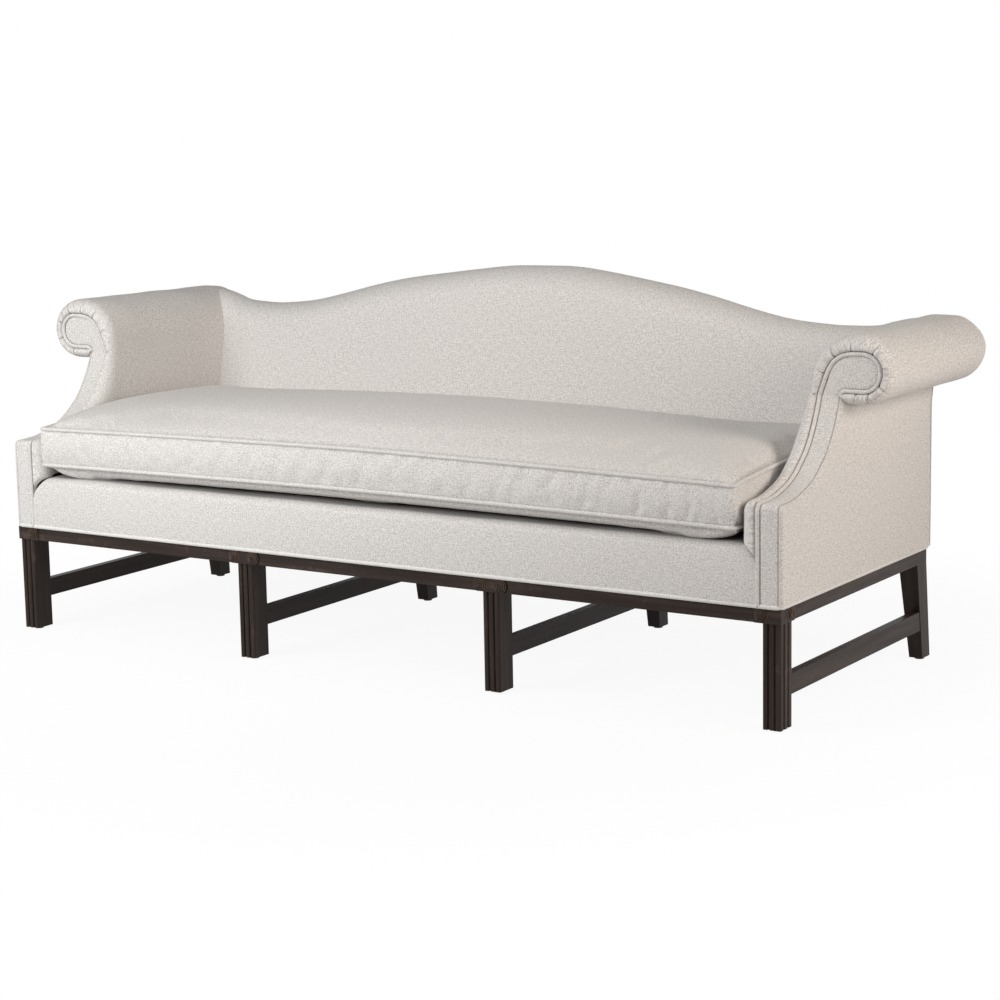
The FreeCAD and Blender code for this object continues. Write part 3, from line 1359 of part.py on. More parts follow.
def seam_corners(rear_y):
    """Where a seam's cord turns, a little outside the seam."""
    front_y = float(cushion_front) - seam_out
    rear_y += seam_out
    front_x = cushion_side(front_y) + seam_out
    rear_x = cushion_side(rear_y) + seam_out
    return (-front_x, front_y), (front_x, front_y), (rear_x, rear_y), (-rear_x, rear_y)


cover_thickness = float(size("cushion_cover"))
seam_radius = size("cushion_welt_radius")
seam_out = float(seam_radius - size("seam_sink"))
seams = ((low_z, rear_low, "low"), (high_z, rear_high, "high"))
seam_turn = seam_radius * 2
cords = [cord_round(seam_corners(rear_y), z, seam_turn, seam_radius) for z, rear_y, _ in seams]
room = [cord_round(seam_corners(rear_y), z, seam_turn, seam_radius + fit_gap) for z, rear_y, _ in seams]


def zipper(grow):
    """The zipper let into the sloping rear boxing."""
    up = Vector(rear_high - rear_low, high_z - low_z, 0).normalize()
    inward = Vector(-up.y, up.x, 0)
    middle = Vector((rear_low + rear_high) / 2, (low_z + high_z) / 2, 0)
    half = float(size("zipper_width")) / 2 + grow
    deep = float(size("zipper_depth")) + grow
    spots = [middle + up * half - inward * grow, middle - up * half - inward * grow,
             middle - up * half + inward * deep, middle + up * half + inward * deep]
    reach = cushion_side(rear_low) - float(size("zipper_end")) + grow
    return across(corners(*[(spot.x, spot.y) for spot in spots]), -reach, reach)


cover = cushion_solid(0).cut(cushion_solid(cover_thickness)).cut(zipper(float(fit_gap)))
cover = cover.cut(room[0]).cut(room[1])
keep(shaped("cushion_cover", cover), "cushion_cover")
keep(shaped("cushion_core", cushion_solid(cover_thickness + float(fit_gap))), "cushion_core")
group("cushion_welts", [shaped(f"seam_cord_{word}", cord) for cord, (_, _, word) in zip(cords, seams)])
keep(shaped("cushion_zipper", zipper(0)), "cushion_zipper")

doc.recompute()
for item in doc.Objects:
    if "Invalid" in item.State or "Error" in item.State:
        raise RuntimeError(f"{item.Label} did not recompute")
for piece in pieces:
    if piece.Shape.isNull() or not piece.Shape.isValid() or not piece.Shape.Solids:
        raise RuntimeError(f"{piece.Label} is not a sound solid")
os.makedirs("parts", exist_ok=True)
for piece in pieces:
    piece.Shape.exportStep(f"parts/{piece.Label}.step")
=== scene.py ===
"""A camelback sofa: linen covers, cushion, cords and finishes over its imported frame."""

import math

import bmesh
import bpy
import mathutils
import numpy as np
from bpy.props import FloatProperty, FloatVectorProperty, PointerProperty
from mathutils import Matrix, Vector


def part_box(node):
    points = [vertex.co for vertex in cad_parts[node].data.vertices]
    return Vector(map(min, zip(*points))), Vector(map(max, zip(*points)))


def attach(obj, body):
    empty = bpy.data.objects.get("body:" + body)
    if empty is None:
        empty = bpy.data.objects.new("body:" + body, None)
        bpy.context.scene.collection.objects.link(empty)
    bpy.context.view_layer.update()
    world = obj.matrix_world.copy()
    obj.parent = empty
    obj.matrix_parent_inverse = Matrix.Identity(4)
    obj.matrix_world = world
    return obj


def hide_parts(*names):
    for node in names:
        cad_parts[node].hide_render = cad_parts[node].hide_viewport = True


bl_info = {
    "name": "Camelback Sofa",
    "version": (1, 0, 0),
    "blender": (4, 5, 0),
    "location": "3D View > Sidebar > Sofa",
    "description": "Builds the covers, cushion, cords and finishes of a camelback sofa",
    "category": "Object",
}

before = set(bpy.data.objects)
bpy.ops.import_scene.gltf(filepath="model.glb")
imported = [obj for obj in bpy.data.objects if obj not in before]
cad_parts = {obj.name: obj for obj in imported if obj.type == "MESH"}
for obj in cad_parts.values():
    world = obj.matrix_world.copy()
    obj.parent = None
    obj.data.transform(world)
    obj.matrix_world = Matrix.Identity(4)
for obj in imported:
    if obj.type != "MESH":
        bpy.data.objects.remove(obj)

# Every shape below is worked out in millimetres, with Y counted from the front plane of the legs.
MM = 0.001
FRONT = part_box("front_apron")[0][1]
BODY = "frame"
BASE_Z = 268.0
WELT_X = 1006.0
SEAM_X = 1053.0
SIDE_X = 1062.0
SCROLL_Y = 291.0
SPLIT_Z = 673.0
BACK_Y = 766.0
BACK_BREAK_Z = 600.0
BACK_RAKE = 0.22
ROLL_X, ROLL_Z, ROLL_R = 1101.0, 729.0, 75.0
SCROLL_X, SCROLL_Z, SCROLL_R = 1105.5, 724.3, 40.2
NECK_R, NECK_X = 11.0, 1054.2
INNER_R, INNER_Z = 105.0, 699.0
ROLL_REAR_Y = 834.7
SWEEP = ((9, 480), (38, 481), (75, 485), (122, 497), (160, 512), (194, 535), (227, 563), (256, 602),
         (278, 642), (291, 673))
SHOULDER = ((1006, 673), (1009.5, 685), (1014.5, 698), (1020, 714), (1027, 730), (1038.5, 746.5),
            (1056, 758.5), (1074, 763.2), (1090, 764.4))
CREST = ((0, 881), (100, 880), (200, 870), (300, 856), (400, 840), (500, 820), (600, 797), (700, 777),
         (800, 767), (850, 766), (917, 769), (957, 780), (1006, 791), (1060, 794))
BORDER_END = ((900, 394), (942, 394.5), (960, 393), (970, 390), (980, 385), (990, 377), (998, 369),
              (1004, 362))
ARM_COUNTS = (44, 9, 70)
RING_COUNTS = (10, 92, 28, 128, 32, 14)
SEAM_CORD_R = 0.0021
VOLUTE_X, VOLUTE_R, VOLUTE_STEP, RIB_R = 43.5, 16.0, 4.0, 0.0013
EDGE_OFFSETS = np.array([2.6, 4.2, 5.2, 6.4, 8.0, 10.0, 12.5])


def placed(x, y, z):
    """Millimetres from the leg fronts as points of the row frame in metres."""
    return stacked(x * MM, y * MM + FRONT, z * MM)


def stacked(*parts):
    """Arrays of matching shapes as the last axis of one array."""
    return np.stack(np.broadcast_arrays(*parts), -1)


def line_through(points, count):
    """A smooth line through points, evenly spaced: Catmull-Rom pieces, then equal steps of length."""
    knots = np.asarray(points, float)
    ends = np.vstack([2 * knots[0] - knots[1], knots, 2 * knots[-1] - knots[-2]])
    step = np.linspace(0, 1, 24, endpoint=False)[None, :, None]
    before, start, end, after = (ends[i:len(ends) - 3 + i, None, :] for i in range(4))
    curve = 0.5 * (2 * start + (end - before) * step
                   + (2 * before - 5 * start + 4 * end - after) * step ** 2
                   + (3 * start - before - 3 * end + after) * step ** 3)
    curve = np.vstack([curve.reshape(-1, knots.shape[1]), knots[-1]])
    return evenly(curve, count)


def evenly(line, count):
    """The same line in equal steps of its own length."""
    run = lengths(line)
    wanted = np.linspace(0, run[-1], count)
    return np.stack([np.interp(wanted, run, line[:, i]) for i in range(line.shape[1])], -1)


def lengths(line):
    """The length from a line's start to each of its points."""
    return np.r_[0, np.cumsum(np.linalg.norm(np.diff(line, axis=0), axis=1))]


def arc(centre, radius, start, end, count):
    """Points on a circle from one angle to another, in degrees."""
    angle = np.radians(np.linspace(start, end, count))
    return np.stack([centre[0] + radius * np.cos(angle), centre[1] + radius * np.sin(angle)], -1)


def between(first, last, count):
    """Points on a straight line."""
    share = np.linspace(0, 1, count)[:, None]
    return np.asarray(first, float) * (1 - share) + np.asarray(last, float) * share


def turned_left(line):
    """The unit normal on the left of a flat line, from its smoothed direction."""
    way = np.gradient(line, axis=0)
    way /= np.linalg.norm(way, axis=1)[:, None] + 1e-9
    return np.stack([-way[:, 1], way[:, 0]], -1)


def loop_directions(loop):
    """The way along a closed loop at each point, and the level direction out of it."""
    closed = np.vstack([loop[-1:], loop, loop[:1]])
    way = closed[2:] - closed[:-2]
    way /= np.linalg.norm(way, axis=1)[:, None]
    return way, np.c_[way[:, 1], -way[:, 0], 0 * way[:, 0]]


def run_down(y, z):
    """The length from a grid's first row to each of its points, down the columns."""
    steps = np.hypot(np.diff(y, axis=0), np.diff(z, axis=0))
    return np.vstack([np.zeros_like(steps[:1]), np.cumsum(steps, 0)])


def ripple(points, amount, reach, seed):
    """A gentle unevenness: the sum of six waves of mixed direction, about `reach` metres long."""
    rng = np.random.default_rng(seed)
    ways = rng.normal(size=(6, 3))
    ways *= (2 * math.pi / reach * rng.uniform(0.6, 1.5, 6) / np.linalg.norm(ways, axis=1))[:, None]
    return amount / 2.4 * np.sin(points @ ways.T + rng.uniform(0, 2 * math.pi, 6)).sum(-1)


def outward(grid):
    """The unit normals of a grid: the cross product of its two directions."""
    normal = np.cross(np.gradient(grid, axis=0), np.gradient(grid, axis=1))
    return normal / (np.linalg.norm(normal, axis=-1, keepdims=True) + 1e-12)


def grid_faces(rows, columns, first=0):
    """The quads of a grid of points, row by row."""
    index = np.arange(rows * columns).reshape(rows, columns) + first
    quads = np.stack([index[:-1, :-1], index[1:, :-1], index[1:, 1:], index[:-1, 1:]], -1)
    return quads.reshape(-1, 4)


def soft_piece(name, grids, material, nodes=(), body=BODY, weld=0.00002, outside=None):
    """One object from grids of points in metres, each with its cloth coordinates and maybe its painted
    shade.

    The grids' quads share one mesh and meeting rows are merged. Where the point `outside` is given,
    the whole shell is turned so that most of it faces away from that point.
    """
    points = np.concatenate([grid[0].reshape(-1, 3) for grid in grids])
    cloth = np.concatenate([grid[1].reshape(-1, 2) for grid in grids])
    painted_shade_values = np.concatenate([grid[2].reshape(-1) if len(grid) > 2 else np.zeros(grid[0][..., 0].size)
                              for grid in grids])
    shapes = [grid[0].shape[:2] for grid in grids]
    starts = np.cumsum([0] + [rows * columns for rows, columns in shapes])
    quads = np.concatenate([grid_faces(*shape, first) for shape, first in zip(shapes, starts)])
    if outside is not None:
        corner = points[quads]
        normal = np.cross(corner[:, 2] - corner[:, 0], corner[:, 3] - corner[:, 1])
        away = corner.mean(1) - np.asarray(outside)
        if (normal * away).sum() < 0:
            quads = quads[:, ::-1]
    mesh = bpy.data.meshes.new(name)
    mesh.from_pydata(points.tolist(), [], quads.tolist())
    layer = mesh.uv_layers.new(name="cloth")
    layer.data.foreach_set("uv", cloth[quads.reshape(-1)].astype(np.float32).reshape(-1))
    # The painted shade is stored per point, for the linen to darken the colour by.
    if painted_shade_values.any():
        painted_shade = mesh.attributes.new("painted_shade", "FLOAT", "POINT")
        painted_shade.data.foreach_set("value", painted_shade_values.astype(np.float32))
    tidy = bmesh.new()
    tidy.from_mesh(mesh)
    bmesh.ops.remove_doubles(tidy, verts=tidy.verts, dist=weld)
    tidy.to_mesh(mesh)
    tidy.free()
    mesh.polygons.foreach_set("use_smooth", [True] * len(mesh.polygons))
    piece = bpy.data.objects.new(name, mesh)
    bpy.context.scene.collection.objects.link(piece)
    mesh.materials.append(material)
    if nodes:
        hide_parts(*nodes)
    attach(piece, body)
    return piece


def mirrored(grid, side):
    """A grid of the right-hand end as it is (side 1), or mirrored to the left-hand end (side -1)."""
    return grid * np.array([side, 1.0, 1.0])


def tube(path, first, second, radius, sides=10, closed=False):
    """A round cord: at each point of the path a circle in the plane of two given directions.

    Its cloth coordinates are the angle's arc and the length along the path; open ends are capped
    by two smaller rings that close to a point.
    """
    angle = np.linspace(0, 2 * math.pi, sides + 1)[:, None]
    if closed:
        order, share = np.r_[:len(path), 0], np.ones(len(path) + 1)
    else:
        order = np.r_[0, 0, :len(path), -1, -1]
        share = np.r_[0.0, 0.7, np.ones(len(path)), 0.7, 0.0]
    path, first, second = (part[order][:, None] for part in (path, first, second))
    ring = np.cos(angle) * first + np.sin(angle) * second
    grid = path + ring * (radius * share)[:, None, None]
    return grid, stacked(angle.T * radius, lengths(path[:, 0])[:, None])


# ---- shader expressions


class Value:
    """A shader socket in a Python expression; each sign adds one Math node."""

    def __init__(self, finish, socket):
        self.finish = finish
        self.socket = socket

    def math(self, operation, *others):
        """A Math node of this socket and the others."""
        return self.finish.node("ShaderNodeMath", {"operation": operation},
                                dict(enumerate((self,) + others)))

    def __add__(self, other):
        return self.math("ADD", other)

    def __sub__(self, other):
        return self.math("SUBTRACT", other)

    def __mul__(self, other):
        return self.math("MULTIPLY", other)

    def __truediv__(self, other):
        return self.math("DIVIDE", other)

    def __radd__(self, other):
        return self.math("ADD", other)

    def __rsub__(self, other):
        return self.finish.node("ShaderNodeMath", {"operation": "SUBTRACT"}, {0: other, 1: self})

    def sin(self):
        """The sine of this socket."""
        return self.math("SINE")

    def between(self, low, high):
        """0 below `low`, 1 above `high`, smooth in between."""
        return self.finish.node("ShaderNodeMapRange", {"interpolation_type": "SMOOTHSTEP"},
                                {"Value": self, "From Min": low, "From Max": high})


class Finish:
    """One material, or a world, and the nodes of its shader."""

    def __init__(self, name, world=False):
        self.owner = (bpy.data.worlds if world else bpy.data.materials).new(name)
        self.owner.use_nodes = True
        self.tree = self.owner.node_tree
        self.tree.nodes.clear()
        self.last = "ShaderNodeOutputWorld" if world else "ShaderNodeOutputMaterial"

    def node(self, kind, settings=None, sockets=None, output=0):
        """A node of this kind: its settings first, then its sockets' values or links.

        It gives the asked output, or nothing where `output` is None.
        """
        made = self.tree.nodes.new(kind)
        for key, setting in (settings or {}).items():
            setattr(made, key, setting)
        for key, content in (sockets or {}).items():
            socket = made.inputs[key]
            if isinstance(content, Value):
                self.tree.links.new(content.socket, socket)
            else:
                socket.default_value = content
        return None if output is None else Value(self, made.outputs[output])

    def noise(self, vector, scale, detail=2.0, roughness=0.5):
        """Noise between 0 and 1."""
        return self.node("ShaderNodeTexNoise", {}, {"Vector": vector, "Scale": scale, "Detail": detail,
                                                    "Roughness": roughness})

    def place(self):
        """The object's own coordinates."""
        return self.node("ShaderNodeTexCoord", output="Object")

    def looked_at(self):
        """1 for rays from the camera, a mirror or glass, 0 for light on its way between surfaces."""
        camera, glossy, through = (self.node("ShaderNodeLightPath", output=f"Is {ray} Ray")
                                   for ray in ("Camera", "Glossy", "Transmission"))
        return camera.math("MAXIMUM", glossy).math("MAXIMUM", through)

    def scaled(self, vector, factors):
        """A vector times three factors."""
        return self.node("ShaderNodeVectorMath", {"operation": "MULTIPLY"}, {0: vector, 1: factors})

    def mixed(self, factor, first, second):
        """Two colours mixed by a factor."""
        return self.node("ShaderNodeMix", {"data_type": "RGBA"}, {0: factor, 6: first, 7: second}, 2)

    def bump(self, height, distance, strength=1.0):
        """The normal that a height in 0 to 1 gives."""
        return self.node("ShaderNodeBump", {}, {"Height": height, "Distance": distance,
                                                "Strength": strength})

    def shade(self, **sockets):
        """Ends the material in one Principled shader."""
        names = {key.replace("_", " "): content for key, content in sockets.items()}
        return self.ended(self.node("ShaderNodeBsdfPrincipled", {}, names))

    def ended(self, shader):
        """The material or world, with this shader as its surface."""
        self.node(self.last, {}, {"Surface": shader}, None)
        return self.owner


def full(colour, share=1.0):
    """A property's colour as four numbers, darkened by a share."""
    return tuple(channel * share for channel in colour) + (1.0,)


def linen(name, colour, slub=1.0, relief=0.0009):
    """Heathered linen: uneven yarns crossing, flecked lighter and darker, with painted shade where a
    per-point attribute marks pleats, seams and cords.
    """
    finish = Finish(name)
    cloth = finish.node("ShaderNodeUVMap", {"uv_map": "cloth"})
    fleck = finish.noise(cloth, 310.0, 3.0, 0.7)
    weft = finish.noise(finish.scaled(cloth, (70.0, 330.0, 1.0)), 1.0, 3.0, 0.6)
    warp = finish.noise(finish.scaled(cloth, (330.0, 70.0, 1.0)), 1.0, 3.0, 0.6)
    broad = finish.noise(cloth, 7.0, 2.0)
    yarns = (fleck * 1.5 + weft * 0.5 + warp * 0.5) / 2.5
    tone = finish.mixed(yarns.between(0.38, 0.62), full(colour, 1 - 0.34 * slub),
                        full(colour, 1 + 0.20 * slub))
    tone = finish.mixed(broad.between(0.3, 0.7) * 0.25, tone, full(colour, 0.93))
    # Painted shade: a per-point attribute darkens the colour towards about an eighth of it in pleats, along
    # seams and cords and under the cushion's overhang.
    painted_shade = finish.node("ShaderNodeAttribute", {"attribute_name": "painted_shade"}, output="Fac")
    tone = finish.mixed(painted_shade * 0.8, tone, full(colour, 0.12))
    return finish.shade(Base_Color=tone, Roughness=0.95, Normal=finish.bump(yarns, relief, 0.7),
                        Sheen_Weight=0.1, Sheen_Roughness=0.6, Specular_IOR_Level=0.15)


def espresso_wood(name, colour, rubbed, along):
    """Dark stained wood: grain stretched along one axis, rubbed through to a redder tone in patches."""
    finish = Finish(name)
    place = finish.place()
    stretch = [60.0, 60.0, 60.0]
    stretch[along] = 3.5
    grain = finish.noise(finish.scaled(place, tuple(stretch)), 1.0, 5.0, 0.62)
    pores = finish.noise(finish.scaled(place, tuple(4 * value for value in stretch)), 1.0, 2.0)
    wear = finish.noise(finish.scaled(place, (34.0, 34.0, 21.0)), 1.0, 4.0, 0.7)
    worn = (wear * 0.7 + grain * 0.4).between(0.60, 0.76)
    tone = finish.mixed(grain.between(0.35, 0.7), full(colour, 0.75), full(colour, 1.35))
    tone = finish.mixed(worn * 0.75, tone, full(rubbed))
    rough = 0.48 - grain * 0.12 + worn * 0.12
    relief = finish.bump(pores * 0.6 + grain, 0.0004, 0.5)
    return finish.shade(Base_Color=tone, Roughness=rough, Normal=relief, Specular_IOR_Level=0.12)


def plain_finish(name, colour, rough, scale, depth=0.0003, metal=0.0, spread=0.25):
    """A surface with fine mottling: noise varies its colour, its roughness and its height."""
    finish = Finish(name)
    place = finish.place()
    grain = finish.noise(place, scale, 3.0, 0.6)
    tone = finish.mixed(grain, full(colour, 1 - spread), full(colour, 1 + spread))
    return finish.shade(Base_Color=tone, Roughness=grain * 0.2 + (rough - 0.1), Metallic=metal,
                        Normal=finish.bump(grain, depth, 0.6))


def woven_finish(name, colour, pitch, depth):
    """Coarse plain weave on object coordinates: waves along all three axes make the threads."""
    finish = Finish(name)
    place = finish.place()
    x, y, z = (finish.node("ShaderNodeSeparateXYZ", {}, {0: place}, axis) for axis in "XYZ")
    turn = 2 * math.pi / pitch
    threads = (x * turn).sin() * ((y + z) * turn).sin() * 0.5 + 0.5
    grain = finish.noise(place, 120.0, 3.0)
    tone = finish.mixed(threads * 0.6 + grain * 0.4, full(colour, 0.7), full(colour, 1.1))
    return finish.shade(Base_Color=tone, Roughness=0.95, Normal=finish.bump(threads, depth, 0.7))


# ---- sizes and colours a user would change


def length(name, description, default, smallest=0.001):
    """A property that holds a length in metres."""
    return FloatProperty(name=name, description=description, default=default, min=smallest, unit="LENGTH")


def paint(name, description, default):
    """A property that holds a colour."""
    return FloatVectorProperty(name=name, description=description, default=default, subtype="COLOR", size=3,
                               min=0, max=1)


class SofaSizes(bpy.types.PropertyGroup):
    """Sizes of the covers and cords."""
    welt_radius: length("Welt radius", "Radius of the welt cord on the arm fronts", 0.0045)
    base_welt_radius: length("Base welt radius", "Radius of the cord above the apron", 0.0048)
    seam_radius: length("Cushion cord radius", "Radius of the cords on the cushion's seams", 0.0045)
    puff: length("Arm pad puff", "How far the padding swells in front of the welt", 0.012, 0.0)
    swell: length("Cushion swell", "How far the filling may push the cushion's cover out", 0.007, 0.0)


class SofaColours(bpy.types.PropertyGroup):
    """Colours of the finishes."""
    linen: paint("Linen", "Cover fabric", (0.752, 0.724, 0.700))
    cord: paint("Base cord", "Paler cord above the apron", (0.82, 0.80, 0.775))
    wood: paint("Show wood", "Espresso stain", (0.036, 0.025, 0.021))
    rubbed: paint("Rubbed edge", "Where the stain is rubbed through", (0.095, 0.062, 0.048))


def sizes():
    """The scene's sofa sizes."""
    return bpy.context.scene.sofa_sizes


def colours():
    """The scene's sofa colours."""
    return bpy.context.scene.sofa_colours


def finish_named(name):
    """A finish of this sofa, made the first time it is asked for."""
    if name in bpy.data.materials:
        return bpy.data.materials[name]
    tone = colours()
    makers = {
        "linen_cover": lambda: linen(name, tone.linen),
        "linen_cord": lambda: linen(name, tone.linen, 0.8, 0.0004),
        "base_cord": lambda: linen(name, tone.cord, 0.5, 0.0003),
        "wood_upright": lambda: espresso_wood(name, tone.wood, tone.rubbed, 2),
        "wood_lengthwise": lambda: espresso_wood(name, tone.wood, tone.rubbed, 0),
        "wood_sideways": lambda: espresso_wood(name, tone.wood, tone.rubbed, 1),
        "wood_carved": lambda: espresso_wood(name, tone.rubbed, tone.wood, 2),
        "raw_beech": lambda: plain_finish(name, (0.52, 0.36, 0.21), 0.6, 18.0),
        "glide_nylon": lambda: plain_finish(name, (0.03, 0.028, 0.027), 0.5, 300.0, 0.0001),
        "screw_steel": lambda: plain_finish(name, (0.55, 0.55, 0.56), 0.35, 400.0, 0.00005, 1.0, 0.1),
        "jute": lambda: woven_finish(name, (0.42, 0.31, 0.17), 0.004, 0.0008),
        "dust_cloth": lambda: woven_finish(name, (0.03, 0.03, 0.032), 0.002, 0.0003),
        # A real platform cloth, but its near-black colour is painted shade for the gap under the cushion's
        # front.
        "deck_cloth": lambda: woven_finish(name, (0.035, 0.032, 0.03), 0.0016, 0.0003),
        "wadding": lambda: plain_finish(name, (0.80, 0.78, 0.74), 0.95, 60.0, 0.001),
        "zip_tape": lambda: woven_finish(name, (0.60, 0.56, 0.51), 0.0012, 0.0002),
    }
    return makers[name]()


# ---- shapes of the arms


def toward_rear(y):
    """0 at the scroll's face, 1 at the roll's rear end."""
    return np.clip((y - SCROLL_Y) / (ROLL_REAR_Y - SCROLL_Y), 0, 1)


def inner_x(y, z):
    """The right-hand arm's inner face: upright, leaning out to the roll, closing in to the back."""
    share = toward_rear(y)
    foot = 965 - 20 * share
    shoulder = 984 - 39 * share
    lean = np.clip((z - 560) / (INNER_Z - 560), 0, 1)
    lean = lean * lean * (2.2 - 1.2 * lean)
    return foot + (shoulder - foot) * lean


def rear_y(z):
    """The outer back's surface: upright, raked above the arms' lower part."""
    return BACK_Y + BACK_RAKE * np.maximum(0, z - BACK_BREAK_Z)


def front_line(inward, corner, low, counts):
    """The side view of an arm front from `low` to the scroll: upright, rounded corner, sweep.

    The line is the welt's, moved inward by a distance; each of its three parts has a fixed count
    of points, so lines at different distances match point by point.
    """
    sweep = line_through(SWEEP, 160)
    sweep = sweep - turned_left(sweep) * inward
    face = -4.0 + inward
    radius = max(corner - inward, 1.5)
    sweep = evenly(sweep[sweep[:, 0] > face + radius], counts[2])
    turn = arc((face + radius, sweep[0, 1] - radius), radius, 180, 90, counts[1] + 2)
    rise = between((face, low), turn[0], counts[0])
    return np.vstack([rise, turn[1:-1], sweep])


def scroll_ring():
    """The welt round the scroll in the front view, from the sweep's end over the shoulder to the neck."""
    neck = (NECK_X + NECK_R, SCROLL_Z - SCROLL_R - NECK_R)
    shoulder = line_through(SHOULDER, 200)
    low = shoulder[:, 1] <= INNER_Z
    parts = [evenly(shoulder[low], RING_COUNTS[0]), evenly(shoulder[~low], RING_COUNTS[1]),
             between(shoulder[-1], (SCROLL_X, SCROLL_Z + SCROLL_R), RING_COUNTS[2]),
             arc((SCROLL_X, SCROLL_Z), SCROLL_R, 90, -90, RING_COUNTS[3]),
             between((SCROLL_X, SCROLL_Z - SCROLL_R), (neck[0], SCROLL_Z - SCROLL_R), RING_COUNTS[4]),
             arc(neck, NECK_R, 90, 180, RING_COUNTS[5])]
    return np.vstack([part[1:] for part in parts])


def roll_section(y):
    """The roll's outline in the front view at each depth y, matching scroll_ring's points.

    Towards the back the shoulder reaches further in, the top comes down and the outside comes out
    a little.
    """
    share = toward_rear(y)
    shoulder = (984 - 39 * share)[:, None]
    foot_z = between((SPLIT_Z,), (INNER_Z,), RING_COUNTS[0])[None, 1:, 0]
    side = stacked(inner_x(y[:, None], foot_z), foot_z)
    angle = np.radians(np.linspace(180, 90, RING_COUNTS[1]))[None, 1:]
    over = stacked(shoulder + INNER_R + INNER_R * np.cos(angle), INNER_Z + INNER_R * np.sin(angle))
    step = np.linspace(0, 1, RING_COUNTS[2])[None, 1:]
    flat = stacked(over[:, -1:, 0] * (1 - step) + ROLL_X * step, ROLL_Z + ROLL_R)
    under, tuck = (SIDE_X + 4, ROLL_Z - ROLL_R + 1), (SIDE_X - 6, ROLL_Z - ROLL_R + 16)
    rest = np.vstack([arc((ROLL_X, ROLL_Z), ROLL_R, 90, -90, RING_COUNTS[3])[1:],
                      between((ROLL_X, ROLL_Z - ROLL_R), under, RING_COUNTS[4])[1:],
                      between(under, tuck, RING_COUNTS[5])[1:]])
    rest = np.broadcast_to(rest, (len(y),) + rest.shape)
    section = np.concatenate([side, over, flat, rest], 1)
    raised = np.clip((section[..., 1] - ROLL_Z + ROLL_R) / (2 * ROLL_R), 0, 1)
    far_out = np.clip((section[..., 0] - SIDE_X) / (ROLL_X + ROLL_R - SIDE_X), 0, 1)
    fallen = np.exp(-((section[..., 0] - 1152) / 34) ** 2) * np.clip((section[..., 1] - ROLL_Z) / 30, 0, 1)
    return section + share[:, None, None] * stacked(3.0 * far_out, -5.5 * raised - 7.5 * fallen)


def front_edge(reach_out, proud, count=10):
    """The rounded front edge of an arm, from the welt outward, for each row's own reach.

    It rises out of the crease beside the cord by an exponential, then turns back through a quarter
    of an ellipse. Gives, row by row, the way outward, the way proud of the welt's plane and the share
    of the way back.
    """
    offset = np.minimum(EDGE_OFFSETS, 0.55 * reach_out[:, None] * EDGE_OFFSETS / EDGE_OFFSETS[-1])
    rise = 1 - np.exp(-(np.maximum(EDGE_OFFSETS - 2.6, 0) / 3.6) ** 1.6)
    start = -6.0 + (proud[:, None] + 6.0) * rise
    angle = np.linspace(0, math.pi / 2, count)[None, 1:]
    turned = offset[:, -1:] + (reach_out[:, None] - offset[:, -1:]) * np.sin(angle)
    lifted = start[:, -1:] * np.cos(angle)
    back = np.broadcast_to(1 - np.cos(angle), turned.shape)
    return (np.hstack([offset, turned]), np.hstack([start, lifted]),
            np.hstack([np.zeros_like(offset), back]))


